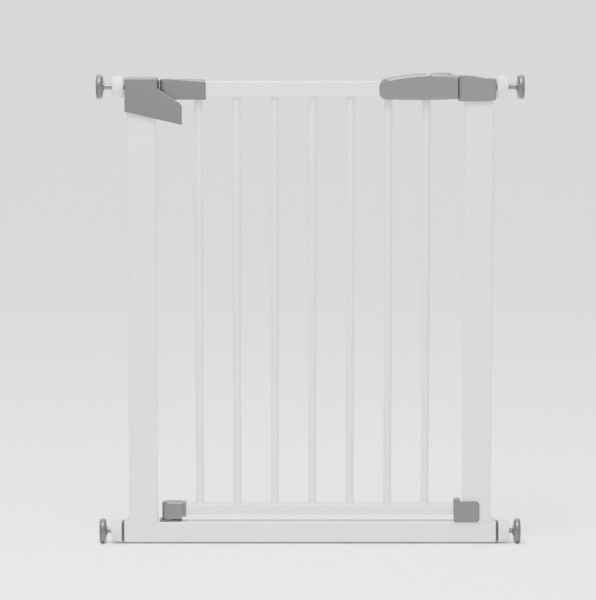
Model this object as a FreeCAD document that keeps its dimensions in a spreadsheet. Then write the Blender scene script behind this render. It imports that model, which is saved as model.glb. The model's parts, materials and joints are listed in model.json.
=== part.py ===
import FreeCAD, Part
import os

import Sketcher

# Pressure-fitted safety gate for a doorway: a welded U frame, a door of seven bars that lifts and swings
# on two pins at the left, a handle with a sliding release button at the right, and four screw adjusters.
#
# Axes: X along the gate, +Y to the far side (the door opens towards +Y), +Z up.
# Origin: midway between the wall pads, in the middle of the depth, at the level of the lowest pad edge.

doc = FreeCAD.newDocument("SafetyGate")
sheet = doc.addObject("Spreadsheet::Sheet", "Sizes")

SIZES = {
    # overall
    "wall_span": 682,
    "gate_height": 762,
    "floor_gap": 3.5,
    # welded frame
    "adjuster_reach": 41,
    "bar_depth": 26,
    "bar_height": 33,
    "post_width": 46,
    "post_depth": 26,
    "bar_overhang": 7.7,
    "post_top_drop": 14,
    "tube_wall": 1.5,
    "tube_corner": 3,
    # fits
    "slip_gap": 0.1,
    "shaft_gap": 0.05,
    "moving_gap": 0.3,
    # adjusters
    "spindle_diameter": 10,
    "spindle_length": 81,
    "pad_diameter": 40,
    "pad_cup_depth": 9,
    "pad_face_depth": 4,
    "pad_face_inset": 0.5,
    "pad_hub_diameter": 18,
    "pad_socket_depth": 6,
    "nut_diameter": 37.5,
    "nut_length": 17,
    "nut_lobes": 18,
    "nut_groove_diameter": 3,
    "nut_taper_length": 3.5,
    "nut_taper_drop": 2,
    "nut_gap": 0.5,
    "nut_cap_gap": 2.2,
    "spindle_chamfer": 1,
    "top_axis_drop": 23,
    "plug_collar": 4.5,
    "plug_depth": 26,
    "bush_diameter": 17,
    "bush_length": 28,
    "bush_nose_diameter": 14,
    # post caps
    "cap_overlap": 3.5,
    "cap_half_depth": 17,
    "cap_edge_radius": 3,
    "hinge_cap_top_drop": 8,
    "hinge_cap_outer_drop": 62,
    "hinge_cap_slope": 0.232,
    "hinge_cap_inner_wall": 3.3,
    "tab_reach": 42.3,
    "tab_thickness": 3.4,
    "tab_gap": 1.1,
    "tab_shoulder_drop": 25,
    "tab_tip_drop": 48,
    "tab_tip_radius": 6,
    "arm_top_drop": 44.5,
    "arm_height": 18,
    "arm_width": 24,
    "latch_cap_bottom_drop": 45.6,
    "latch_cap_top_drop": 4.6,
    "latch_cap_outer_drop": 9,
    "latch_cap_inner_wall": 10,
    "strike_thickness": 1.5,
    "strike_width": 20,
    "strike_height": 24,
    # hinges
    "hinge_offset": 18.8,
    "hinge_pin_diameter": 8,
    "hinge_sleeve_wall": 2,
    "hinge_sleeve_flange": 1.2,
    "hinge_flange_diameter": 18,
    "upper_pin_rise": 27,
    "lower_pin_rise": 20,
    "pin_seat": 14,
    "pin_chamfer": 0.8,
    "hinge_base_width": 24,
    "hinge_base_margin": 3,
    "hinge_base_height": 3.2,
    "hinge_base_length": 35,
    "hinge_screw_gap": 1.75,
    "knuckle_radius": 12.5,
    "lift_travel": 10,
    # door
    "door_depth": 20,
    "top_rail_height": 25,
    "bottom_rail_height": 18,
    "top_rail_drop": 13.5,
    "bottom_rail_rise": 47.5,
    "rail_seat": 14,
    "rail_corner": 2,
    "bar_count": 7,
    "bar_diameter": 13,
    "bar_wall": 1.2,
    "first_bar_offset": 49.4,
    "last_bar_offset": 60.8,
    "upper_hinge_cap_length": 74,
    "upper_hinge_cap_height": 33,
    "lower_hinge_cap_length": 40,
    "lower_hinge_cap_height": 27.5,
    "hinge_cap_edge": 2,
    "end_cap_gap": 2.8,
    "end_cap_length": 11.5,
    "end_cap_nub": 7.5,
    "peg_diameter": 7,
    "peg_length": 8,
    # lower catch
    "catch_width": 42.3,
    "catch_height": 34.3,
    "catch_thickness": 3.6,
    "catch_corner": 6,
    "catch_block_height": 7,
    "catch_block_width": 25.6,
    "catch_lead": 14.8,
    # handle and latch
    "handle_length": 125,
    "handle_gap": 1.8,
    "handle_height": 39.5,
    "handle_left_height": 31.5,
    "handle_bottom_drop": 44,
    "handle_half_depth": 17,
    "handle_wall": 2.5,
    "handle_crown_radius": 305,
    "handle_corner_radius": 4.5,
    "handle_edge_radius": 4,
    "handle_rail_seat": 40,
    "handle_nose": 8,
    "handle_screw_drop": 20,
    "handle_boss_sink": 1,
    "handle_rib": 2.5,
    "boss_diameter": 8,
    "button_offset": 9.5,
    "button_length": 31,
    "button_width": 18,
    "button_travel": 6.5,
    "button_ridges": 5,
    "button_ridge_height": 1.2,
    "button_stem": 10,
    "button_flange": 2,
    "button_flange_height": 2.5,
    "button_flange_gap": 0.5,
    "button_slot_depth": 10,
    "bolt_length": 44,
    "bolt_width": 12,
    "bolt_height": 10,
    "bolt_drop": 29,
    "bolt_engagement": 4.7,
    "bolt_pocket_depth": 4,
    "bolt_chamfer": 1.5,
    "spring_diameter": 8,
    "spring_wire": 1,
    "spring_coils": 8,
    "spring_length": 26,
    # screws
    "screw_diameter": 4,
    "screw_head_diameter": 7.5,
    "screw_head_height": 2.2,
    "screw_length": 12,
    "screw_slot_width": 1.2,
    "screw_seat": 9,
    "screw_margin": 1,
    "cut_margin": 1,
    "cap_screw_spacing": 24,
    "cap_screw_drop_left": 50,
    "cap_screw_drop_right": 40,
}

for row, (alias, number) in enumerate(SIZES.items(), start=1):
    sheet.set(f"A{row}", str(number))
    sheet.setAlias(f"A{row}", alias)
doc.recompute()


def size(text):
    """Turn words of the sheet in a formula into references to the sheet."""
    words = text.replace("(", " ( ").replace(")", " ) ").split()
    return " ".join("Sizes." + word if word in SIZES else word for word in words)


def number(formula):
    """The present value of a formula that names sizes of the sheet."""
    return float(sheet.evalExpression(size(formula)))


# Places that several pieces share, as formulas.
BAR_HALF = "( wall_span / 2 - adjuster_reach )"
POST_OUTER = "( wall_span / 2 - adjuster_reach - bar_overhang )"
POST_INNER = "( wall_span / 2 - adjuster_reach - bar_overhang - post_width )"
POST_CENTRE = "( wall_span / 2 - adjuster_reach - bar_overhang - post_width / 2 )"
BAR_TOP = "( floor_gap + bar_height )"
BAR_AXIS = "( floor_gap + bar_height / 2 )"
POST_TOP = "( gate_height - post_top_drop )"
TOP_AXIS = "( gate_height - top_axis_drop )"
HINGE_X = "( hinge_offset - wall_span / 2 + adjuster_reach + bar_overhang + post_width )"
ARM_TOP = "( gate_height - arm_top_drop )"
BASE_TOP = "( floor_gap + bar_height + hinge_base_height )"
SLEEVE_RADIUS = "( hinge_pin_diameter / 2 + shaft_gap + hinge_sleeve_wall )"
TOP_RAIL_HIGH = "( gate_height - top_rail_drop )"
TOP_RAIL_LOW = "( gate_height - top_rail_drop - top_rail_height )"
LOW_RAIL_HIGH = "( bottom_rail_rise + bottom_rail_height )"
LATCH_FACE = f"( {POST_INNER} - latch_cap_inner_wall )"
HANDLE_RIGHT = f"( {LATCH_FACE} - handle_gap )"
HANDLE_LEFT = f"( {HANDLE_RIGHT} - handle_length )"
HANDLE_LOW = "( gate_height - handle_bottom_drop )"
BUTTON_RIGHT = f"( {HANDLE_RIGHT} - button_offset )"
BUTTON_LEFT = f"( {HANDLE_RIGHT} - button_offset - button_length )"
BUTTON_MIDDLE = f"( {HANDLE_RIGHT} - button_offset - button_length / 2 )"
BOLT_AXIS = "( gate_height - bolt_drop )"
BOLT_TIP = f"( {LATCH_FACE} + bolt_engagement )"
BOLT_TAIL = f"( {LATCH_FACE} + bolt_engagement - bolt_length )"
RIB_RIGHT = f"( {BOLT_TAIL} - spring_length - slip_gap )"
DOOR_END = f"( {POST_INNER} - end_cap_gap )"
RAIL_END = f"( {POST_INNER} - end_cap_gap - end_cap_length )"
PEG_X = f"( {POST_INNER} - end_cap_gap - end_cap_length / 2 )"
CATCH_TOP = "( floor_gap + bar_height + catch_block_height )"
STRIKE_MIDDLE = f"( {BOLT_AXIS} + lift_travel / 2 )"
TAB_FRONT = "( knuckle_radius + tab_gap + tab_thickness )"
TAB_BACK = "( knuckle_radius + tab_gap )"
BASE_SCREWS = [
    (f"( {HINGE_X} + hinge_flange_diameter / 2 + screw_head_diameter / 2 + hinge_screw_gap )", "0"),
    (f"( {PEG_X} )", "peg_diameter / 2 + screw_head_diameter / 2 + screw_margin"),
]

nodes = []


def finished(item, label):
    """Give a sub-part its name and put it on the list that is written out."""
    item.Label = label
    nodes.append(item)
    return item


def bind(item, **formulas):
    """Bind properties of an object to formulas; two underscores stand for a dot."""
    for name, formula in formulas.items():
        item.setExpression(name.replace("__", "."), size(formula))
    return item


def place(item, across="0", deep="0", up="0", turn=None):
    """Bind an object's position, after an optional turn given as a FreeCAD rotation."""
    if turn is not None:
        item.Placement = FreeCAD.Placement(FreeCAD.Vector(), turn)
    return bind(item, Placement__Base__x=across, Placement__Base__y=deep, Placement__Base__z=up)


OUTWARD = {
    -1: FreeCAD.Rotation(FreeCAD.Vector(0, 1, 0), -90),
    1: FreeCAD.Rotation(FreeCAD.Vector(0, 1, 0), 90),
}
TO_BACK = FreeCAD.Rotation(FreeCAD.Vector(1, 0, 0), -90)


def box(name, low, high):
    """A box between two corners, each three formulas."""
    item = doc.addObject("Part::Box", name)
    extents = [f"( {b} ) - ( {a} )" for a, b in zip(low, high)]
    bind(item, Length=extents[0], Width=extents[1], Height=extents[2])
    return place(item, *low)


def cylinder(name, diameter, length, across="0", deep="0", up="0", turn=None):
    """A cylinder that starts at a point and runs along +Z, or along a turned +Z."""
    item = doc.addObject("Part::Cylinder", name)
    bind(item, Radius=f"( {diameter} ) / 2", Height=length)
    return place(item, across, deep, up, turn)


def fuse(name, *pieces):
    """Join overlapping pieces."""
    item = doc.addObject("Part::MultiFuse", name)
    item.Shapes = list(pieces)
    item.Refine = True
    return item


def cut(name, base, *tools):
    """Take tools away from a base and make sure that something was removed."""
    item = doc.addObject("Part::Cut", name)
    item.Base = base
    item.Tool = tools[0] if len(tools) == 1 else fuse(name + "_tools", *tools)
    doc.recompute()
    assert item.Shape.Volume < base.Shape.Volume - 1e-6, name + ": the tools miss the base"
    return item


def new_body(name):
    """An empty design body."""
    return doc.addObject("PartDesign::Body", name)


def sketch_on(body, role, name, offset="0"):
    """A sketch on one of the body's origin planes, moved along the plane's normal."""
    sketch = body.newObject("Sketcher::SketchObject", f"{body.Name}_{name}")
    plane = next(item for item in body.Origin.OriginFeatures if item.Role == role)
    sketch.AttachmentSupport = (plane, [""])
    sketch.MapMode = "FlatFace"
    bind(sketch, AttachmentOffset__Base__z=offset)
    return sketch


def arc_edge(start, end, radius):
    """The minor arc that goes counter-clockwise from start to end."""
    chord = end - start
    across = FreeCAD.Vector(-chord.y, chord.x, 0).normalize()
    depth = max(radius**2 - (chord.Length / 2) ** 2, 0) ** 0.5
    centre = (start + end) * 0.5 + across * depth
    circle = Part.Circle(centre, FreeCAD.Vector(0, 0, 1), radius)
    return Part.ArcOfCircle(circle, circle.parameter(start), circle.parameter(end))


def add_outline(sketch, corners, arcs=None):
    """Draw a closed counter-clockwise outline, with every corner bound to its formulas.

    arcs gives a radius for the edge that follows a corner, where that edge is round.
    """
    arcs = arcs or {}
    points = [FreeCAD.Vector(number(across), number(up), 0) for across, up in corners]
    first = sketch.GeometryCount
    edges = []
    for index, point in enumerate(points):
        following = points[(index + 1) % len(points)]
        if index in arcs:
            edges.append(arc_edge(point, following, number(arcs[index])))
        else:
            edges.append(Part.LineSegment(point, following))
    sketch.addGeometry(edges, False)
    for index in range(len(points)):
        following = first + (index + 1) % len(points)
        sketch.addConstraint(Sketcher.Constraint("Coincident", first + index, 2, following, 1))
    for index, (across, up) in enumerate(corners):
        present_place = points[index]
        bound = (("DistanceX", across, present_place.x), ("DistanceY", up, present_place.y))
        for kind, formula, present in bound:
            row = sketch.addConstraint(Sketcher.Constraint(kind, -1, 1, first + index, 1, present))
            sketch.setExpression(f"Constraints[{row}]", size(formula))
    for index, formula in arcs.items():
        row = sketch.addConstraint(Sketcher.Constraint("Radius", first + index, number(formula)))
        sketch.setExpression(f"Constraints[{row}]", size(formula))


def rectangle(left, right, low, high):
    """The corners of a rectangle."""
    return [(left, low), (right, low), (right, high), (left, high)]


def rounded_rectangle(left, right, low, high, radius):
    """The corners and the corner arcs of a rectangle with round corners."""
    corners = [
        (f"{left} + {radius}", low),
        (f"{right} - {radius}", low),
        (right, f"{low} + {radius}"),
        (right, f"{high} - {radius}"),
        (f"{right} - {radius}", high),
        (f"{left} + {radius}", high),
        (left, f"{high} - {radius}"),
        (left, f"{low} + {radius}"),
    ]
    return corners, {1: radius, 3: radius, 5: radius, 7: radius}


def add_circle(sketch, diameter, across="0", up="0"):
    """Draw a circle bound to its diameter and centre."""
    centre = FreeCAD.Vector(number(across), number(up), 0)
    shape = Part.Circle(centre, FreeCAD.Vector(0, 0, 1), number(diameter) / 2)
    item = sketch.addGeometry(shape, False)
    rules = (
        (Sketcher.Constraint("DistanceX", -1, 1, item, 3, centre.x), across),
        (Sketcher.Constraint("DistanceY", -1, 1, item, 3, centre.y), up),
        (Sketcher.Constraint("Diameter", item, number(diameter)), diameter),
    )
    for rule, formula in rules:
        row = sketch.addConstraint(rule)
        sketch.setExpression(f"Constraints[{row}]", size(formula))


def pad(body, sketch, length, centred=False, backward=False):
    """Raise a sketch into a solid along its normal, to both sides or backward."""
    item = body.newObject("PartDesign::Pad", sketch.Name + "_pad")
    item.Profile = sketch
    bind(item, Length=length)
    item.Midplane = centred
    item.Reversed = backward
    body.Tip = item
    doc.recompute()
    return item


def pocket(body, sketch, length=None, centred=False, along_normal=False):
    """Cut a sketch out of the body, by default against its normal and right through."""
    before = body.Shape.Volume
    item = body.newObject("PartDesign::Pocket", sketch.Name + "_pocket")
    item.Profile = sketch
    if length is None:
        item.Type = "ThroughAll"
    else:
        bind(item, Length=length)
    item.Midplane = centred
    item.Reversed = along_normal
    body.Tip = item
    doc.recompute()
    assert body.Shape.Volume < before - 1e-6, sketch.Name + ": the pocket cuts nothing"
    return item


def fillet(body, radius, chosen):
    """Round the edges of the body's last feature that pass a test."""
    base = body.Tip
    names = [f"Edge{index}" for index, edge in enumerate(base.Shape.Edges, start=1) if chosen(edge)]
    assert names, body.Name + ": no edge to round"
    item = body.newObject("PartDesign::Fillet", base.Name + "_round")
    item.Base = (base, names)
    bind(item, Radius=radius)
    body.Tip = item
    doc.recompute()
    assert body.Shape.isValid(), item.Name + ": the rounding failed"
    return item


# ---- Welded frame ----

def make_bottom_bar():
    """The rectangular tube across the floor, with holes in its top wall for the pin and the screws."""
    body = new_body("bottom_bar")
    tube = sketch_on(body, "YZ_Plane", "section")
    half = "bar_depth / 2"
    add_outline(tube, *rounded_rectangle(f"0 - {half}", half, "floor_gap", BAR_TOP, "tube_corner"))
    pad(body, tube, f"2 * {BAR_HALF}", centred=True)
    bore = sketch_on(body, "YZ_Plane", "bore")
    inner = "( bar_depth / 2 - tube_wall )"
    low, high = "floor_gap + tube_wall", f"( {BAR_TOP} - tube_wall )"
    add_outline(bore, *rounded_rectangle(f"0 - {inner}", inner, low, high, "( tube_corner - tube_wall )"))
    pocket(body, bore, f"2 * {BAR_HALF} + 2", centred=True)
    holes = sketch_on(body, "XY_Plane", "top_holes", BAR_TOP)
    add_circle(holes, "hinge_pin_diameter + 2 * shaft_gap", HINGE_X)
    for across, deep in BASE_SCREWS:
        add_circle(holes, "screw_diameter + slip_gap", across, deep)
    pocket(body, holes, "2 * tube_wall")
    return finished(body, "bottom_bar")


def make_post(side, label):
    """An upright tube welded on the bar, with the spindle's hole in its outer wall."""
    body = new_body(label)
    place(body, up=BAR_TOP)
    tube = sketch_on(body, "XY_Plane", "section")
    left, right = (f"0 - {POST_OUTER}", f"0 - {POST_INNER}") if side < 0 else (POST_INNER, POST_OUTER)
    half = "post_depth / 2"
    add_outline(tube, *rounded_rectangle(left, right, f"0 - {half}", half, "tube_corner"))
    pad(body, tube, f"{POST_TOP} - {BAR_TOP}")
    bore = sketch_on(body, "XY_Plane", "bore")
    inner = "( post_depth / 2 - tube_wall )"
    walls = (f"{left} + tube_wall", f"( {right} - tube_wall )")
    add_outline(bore, *rounded_rectangle(*walls, f"0 - {inner}", inner, "( tube_corner - tube_wall )"))
    pocket(body, bore, along_normal=True)
    outward = sketch_on(body, "YZ_Plane", "spindle_hole", f"{side} * ( {POST_OUTER} - 2 * tube_wall )")
    add_circle(outward, "bush_nose_diameter + slip_gap", "0", f"{TOP_AXIS} - {BAR_TOP}")
    pocket(body, outward, along_normal=side > 0)
    back = sketch_on(body, "XZ_Plane", "screw_holes", "0 - post_depth / 4")
    for across, up in cap_screw_places(side):
        add_circle(back, "screw_diameter + slip_gap", across, f"{up} - {BAR_TOP}")
    pocket(body, back)
    return finished(body, label)


def cap_screw_places(side):
    """The two screws at the back of a post cap, one each side of the post's centre line."""
    up = f"( gate_height - {'cap_screw_drop_left' if side < 0 else 'cap_screw_drop_right'} )"
    return [(f"{side} * {POST_CENTRE} + {step} * cap_screw_spacing / 2", up) for step in (-1, 1)]


def make_end_plug(side, label):
    """A plug in the bar's end: a collar outside, a stub inside and a bore for the spindle."""
    body = new_body(label)
    collar = sketch_on(body, "YZ_Plane", "collar", f"{side} * {BAR_HALF}")
    half = "bar_depth / 2"
    add_outline(collar, *rounded_rectangle(f"0 - {half}", half, "floor_gap", BAR_TOP, "tube_corner"))
    pad(body, collar, "plug_collar", backward=side < 0)
    stub = sketch_on(body, "YZ_Plane", "stub", f"{side} * {BAR_HALF}")
    inner = "( bar_depth / 2 - tube_wall - slip_gap )"
    low, high = "floor_gap + tube_wall + slip_gap", f"( {BAR_TOP} - tube_wall - slip_gap )"
    add_outline(stub, *rounded_rectangle(f"0 - {inner}", inner, low, high, "( tube_corner - tube_wall )"))
    pad(body, stub, "plug_depth", backward=side > 0)
    bore = sketch_on(body, "YZ_Plane", "bore")
    add_circle(bore, "spindle_diameter + 2 * shaft_gap", "0", BAR_AXIS)
    pocket(body, bore, along_normal=side > 0)
    return finished(body, label)


def make_spindle_bush(side, label):
    """The guide of an upper spindle: a barrel inside the post with a nose through its outer wall."""
    outward = OUTWARD[side]
    start = f"{side} * ( {POST_OUTER} - tube_wall - bush_length )"
    barrel = cylinder(label + "_barrel", "bush_diameter", "bush_length", start, "0", TOP_AXIS, outward)
    nose = cylinder(label + "_nose", "bush_nose_diameter", "bush_length + tube_wall",
                    start, "0", TOP_AXIS, outward)
    bore = cylinder(label + "_bore", "spindle_diameter + 2 * shaft_gap", "bush_length + 2 * tube_wall",
                    start, "0", TOP_AXIS, outward)
    return finished(cut(label, fuse(label + "_body", barrel, nose), bore), label)


def near(value, formula):
    """Whether a coordinate is where a formula puts it."""
    return abs(value - number(formula)) < 1e-3


def bore_cap_for_post(body, side, screws):
    """Cut the post's seat, the spindle's hole and the screw holes into a post cap."""
    seat = sketch_on(body, "XY_Plane", "post_seat", POST_TOP)
    left, right = (f"0 - {POST_OUTER}", f"0 - {POST_INNER}") if side < 0 else (POST_INNER, POST_OUTER)
    half = "( post_depth / 2 + slip_gap )"
    walls = (f"{left} - slip_gap", f"( {right} + slip_gap )")
    add_outline(seat, *rounded_rectangle(*walls, f"0 - {half}", half, "tube_corner"))
    pocket(body, seat)
    hole = sketch_on(body, "YZ_Plane", "spindle_hole", f"{side} * {POST_CENTRE}")
    add_circle(hole, "bush_nose_diameter + slip_gap", "0", TOP_AXIS)
    pocket(body, hole, along_normal=side > 0)
    back = sketch_on(body, "XZ_Plane", "screw_holes")
    for across, up in screws:
        add_circle(back, "screw_diameter + slip_gap", across, up)
    pocket(body, back)


def make_hinge_post_cap():
    """The cap on the hinge post, with a tab across the gap in front and an arm that holds the upper pin."""
    body = new_body("hinge_post_cap")
    outer = f"( 0 - {POST_OUTER} - cap_overlap )"
    inner = f"( 0 - {POST_INNER} + hinge_cap_inner_wall )"
    tip = f"( 0 - {POST_INNER} + tab_reach )"
    outer_low = "( gate_height - hinge_cap_outer_drop )"
    top = "( gate_height - hinge_cap_top_drop )"

    def lower_edge(across):
        return f"( {outer_low} - hinge_cap_slope * ( {across} - {outer} ) )"

    shell = sketch_on(body, "XZ_Plane", "shell")
    add_outline(shell, [(outer, outer_low), (inner, lower_edge(inner)), (inner, top), (outer, top)])
    pad(body, shell, "2 * cap_half_depth", centred=True)
    fillet(body, "cap_edge_radius", lambda edge: near(edge.CenterOfMass.z, top)
           or near(edge.BoundBox.XMax, outer) and edge.BoundBox.YLength < 1e-3)

    root = f"( {inner} - hinge_cap_inner_wall )"
    tip_high = "( gate_height - tab_tip_drop )"
    corners = [
        (root, lower_edge(root)),
        (tip, lower_edge(tip)),
        (tip, f"( {tip_high} - tab_tip_radius )"),
        (f"( {tip} - tab_tip_radius )", tip_high),
        (root, "( gate_height - tab_shoulder_drop )"),
    ]
    tab = sketch_on(body, "XZ_Plane", "tab", TAB_BACK)
    add_outline(tab, corners, {2: "tab_tip_radius"})
    pad(body, tab, "tab_thickness")
    arm = sketch_on(body, "XY_Plane", "arm", ARM_TOP)
    back = "( arm_width / 2 )"
    add_outline(arm, rectangle(root, f"( {HINGE_X} + {back} )", f"( 0 - {TAB_BACK} )", back))
    pad(body, arm, "arm_height", backward=True)
    bore_cap_for_post(body, -1, cap_screw_places(-1))
    pin = sketch_on(body, "XY_Plane", "pin_seat", ARM_TOP)
    add_circle(pin, "hinge_pin_diameter + 2 * shaft_gap", HINGE_X)
    pocket(body, pin, "pin_seat")
    return finished(body, "hinge_post_cap")


def make_latch_post_cap():
    """The cap on the latch post, with a tall mouth for the bolt and a recess for the strike plate."""
    body = new_body("latch_post_cap")
    outer = f"( {POST_OUTER} + cap_overlap )"
    low = "( gate_height - latch_cap_bottom_drop )"
    inner_top = "( gate_height - latch_cap_top_drop )"
    outer_top = "( gate_height - latch_cap_outer_drop )"
    shell = sketch_on(body, "XZ_Plane", "shell")
    add_outline(shell, [(LATCH_FACE, low), (outer, low), (outer, outer_top), (LATCH_FACE, inner_top)])
    pad(body, shell, "2 * cap_half_depth", centred=True)
    fillet(body, "cap_edge_radius", lambda edge: edge.CenterOfMass.z > number(outer_top) - 1e-3
           or edge.BoundBox.YLength < 1e-3 and near(edge.BoundBox.XMin, outer))
    bore_cap_for_post(body, 1, cap_screw_places(1))
    recess = sketch_on(body, "YZ_Plane", "strike_recess", LATCH_FACE)
    half, reach = "( strike_width / 2 + slip_gap )", "( strike_height / 2 + slip_gap )"
    foot, head = f"{STRIKE_MIDDLE} - {reach}", f"{STRIKE_MIDDLE} + {reach}"
    add_outline(recess, rectangle(f"0 - {half}", half, foot, head))
    pocket(body, recess, "strike_thickness", along_normal=True)
    mouth = sketch_on(body, "YZ_Plane", "bolt_mouth", LATCH_FACE)
    add_outline(mouth, bolt_window())
    pocket(body, mouth, "latch_cap_inner_wall", along_normal=True)
    return finished(body, "latch_post_cap")


def bolt_window():
    """The opening that the bolt enters, tall enough for the door's lift."""
    half = "( bolt_width / 2 + 2 * moving_gap )"
    low = f"( {BOLT_AXIS} - bolt_height / 2 - 2 * moving_gap )"
    high = f"( {BOLT_AXIS} + bolt_height / 2 + lift_travel + 2 * moving_gap )"
    return rectangle(f"0 - {half}", half, low, high)


def make_strike_plate():
    """The steel plate round the bolt's mouth."""
    body = new_body("strike_plate")
    plate = sketch_on(body, "YZ_Plane", "plate", LATCH_FACE)
    half, reach = "strike_width / 2", "strike_height / 2"
    foot, head = f"{STRIKE_MIDDLE} - {reach}", f"{STRIKE_MIDDLE} + {reach}"
    add_outline(plate, rectangle(f"0 - {half}", half, foot, head))
    pad(body, plate, "strike_thickness")
    window = sketch_on(body, "YZ_Plane", "window", LATCH_FACE)
    add_outline(window, bolt_window())
    pocket(body, window, along_normal=True)
    return finished(body, "strike_plate")


def make_hinge_pins():
    """The two steel pins that the door hangs on, in line with each other."""
    for label, foot, rise in (
        ("upper_hinge_pin", ARM_TOP, "upper_pin_rise"),
        ("lower_hinge_pin", BASE_TOP, "lower_pin_rise"),
    ):
        pin = cylinder(label + "_shank", "hinge_pin_diameter", f"pin_seat + {rise}",
                       HINGE_X, "0", f"{foot} - pin_seat")
        tip = doc.addObject("Part::Chamfer", label)
        tip.Base = pin
        doc.recompute()
        top = [i for i, edge in enumerate(pin.Shape.Edges, 1) if near(edge.BoundBox.ZMin, f"{foot} + {rise}")]
        tip.Edges = [(index, number("pin_chamfer"), number("pin_chamfer")) for index in top]
        finished(tip, label)


def make_lower_hinge_base():
    """The plate on the bar under the lower hinge, with holes for the pin and one screw."""
    left = f"( {HINGE_X} - knuckle_radius - hinge_base_margin )"
    half = "hinge_base_width / 2"
    plate = box("lower_hinge_base_plate", (left, f"0 - {half}", BAR_TOP),
                (f"{left} + hinge_base_length", half, BASE_TOP))
    bore = cylinder("lower_hinge_base_bore", "hinge_pin_diameter + 2 * shaft_gap", "2 * hinge_base_height",
                    HINGE_X, "0", BAR_TOP)
    tools = [bore, *screw_cuts("lower_hinge_base", *BASE_SCREWS[0], BASE_TOP)]
    return finished(cut("lower_hinge_base", plate, *tools), "lower_hinge_base")


def screw_cuts(name, across, deep, top):
    """The shank hole and the head recess of a screw that goes straight down from a face."""
    shank = cylinder(name + "_shank_hole", "screw_diameter + slip_gap", "screw_length",
                     across, deep, f"{top} - screw_length")
    head = cylinder(name + "_head_hole", "screw_head_diameter + 2 * slip_gap", "2 * screw_head_height",
                    across, deep, f"{top} - screw_head_height")
    return shank, head


def make_lower_catch():
    """The plate in front of the latch post's foot, and the block on the bar that holds the door's peg."""
    left = f"( {POST_INNER} - catch_lead )"
    front = "( 0 - bar_depth / 2 - slip_gap - catch_thickness )"
    back = "( 0 - bar_depth / 2 - slip_gap )"
    body = new_body("lower_catch")
    plate = sketch_on(body, "XZ_Plane", "plate", f"0 - {back}")
    right, low, high = f"( {left} + catch_width )", BAR_TOP, f"( {BAR_TOP} + catch_height )"
    corners = [
        (left, low),
        (f"( {right} - catch_corner )", low),
        (right, f"( {low} + catch_corner )"),
        (right, f"( {high} - catch_corner )"),
        (f"( {right} - catch_corner )", high),
        (left, high),
    ]
    add_outline(plate, corners, {1: "catch_corner", 3: "catch_corner"})
    pad(body, plate, "catch_thickness")
    block = sketch_on(body, "XY_Plane", "block", BAR_TOP)
    add_outline(block, rectangle(left, f"( {POST_INNER} - slip_gap )", front, "catch_block_width / 2"))
    pad(body, block, "catch_block_height")
    socket = sketch_on(body, "XY_Plane", "socket", CATCH_TOP)
    add_circle(socket, "peg_diameter + 2 * moving_gap", PEG_X)
    pocket(body, socket)
    shank = sketch_on(body, "XY_Plane", "screw_hole", CATCH_TOP)
    add_circle(shank, "screw_diameter + slip_gap", *BASE_SCREWS[1])
    pocket(body, shank)
    head = sketch_on(body, "XY_Plane", "screw_head", CATCH_TOP)
    add_circle(head, "screw_head_diameter + 2 * slip_gap", *BASE_SCREWS[1])
    pocket(body, head, "screw_head_height")
    return finished(body, "lower_catch")


def screw(name, across, deep, up, turn=None):
    """One pan-head screw whose head rests on a point and whose shank runs back from it."""
    shank = doc.addObject("Part::Cylinder", name + "_shank")
    bind(shank, Radius="screw_diameter / 2", Height="screw_length")
    head = doc.addObject("Part::Cylinder", name + "_head")
    bind(head, Radius="screw_head_diameter / 2", Height="screw_head_height")
    place(head, up="screw_length")
    drive = doc.addObject("Part::Box", name + "_drive")
    bind(drive, Length="screw_head_diameter", Width="screw_slot_width", Height="screw_head_height")
    place(drive, "0 - screw_head_diameter / 2", "0 - screw_slot_width / 2",
          "screw_length + screw_head_height / 2")
    item = cut(name, fuse(name + "_blank", shank, head), drive)
    offsets = {"up": "screw_length"} if turn is None else {"deep": "screw_length"}
    start = {"across": across, "deep": deep, "up": up}
    for axis, amount in offsets.items():
        start[axis] = f"( {start[axis]} ) - {amount}"
    return place(item, **start, turn=turn)


def screw_group(label, screws):
    """Several equal screws in one node."""
    group = doc.addObject("Part::Compound", label)
    group.Links = screws
    return finished(group, label)


def make_frame_screws():
    """The screws that hold the post caps and the two blocks on the bar."""
    caps = [
        screw(f"cap_screw_{side}_{index}".replace("-", "m"), across, "cap_half_depth", up, TO_BACK)
        for side in (-1, 1)
        for index, (across, up) in enumerate(cap_screw_places(side))
    ]
    screw_group("cap_screws", caps)
    tops = (BASE_TOP, CATCH_TOP)
    bases = [
        screw(f"base_screw_{index}", across, deep, f"{top} - screw_head_height")
        for index, ((across, deep), top) in enumerate(zip(BASE_SCREWS, tops))
    ]
    screw_group("base_screws", bases)


# ---- Hinge sleeves, which rise with the door on the pins ----

def make_hinge_sleeves():
    """A flanged sleeve on each pin; its flange carries the door."""
    for label, foot, rise in (
        ("upper_hinge_sleeve", ARM_TOP, "upper_pin_rise"),
        ("lower_hinge_sleeve", BASE_TOP, "lower_pin_rise"),
    ):
        flange = cylinder(label + "_flange", "hinge_flange_diameter", "hinge_sleeve_flange",
                          HINGE_X, "0", foot)
        barrel = cylinder(label + "_barrel", f"2 * {SLEEVE_RADIUS}", rise, HINGE_X, "0", foot)
        bore = cylinder(label + "_bore", "hinge_pin_diameter + 2 * shaft_gap", f"2 * {rise}",
                        HINGE_X, "0", f"{foot} - {rise} / 2")
        finished(cut(label, fuse(label + "_body", flange, barrel), bore), label)


# ---- Door ----

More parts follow.
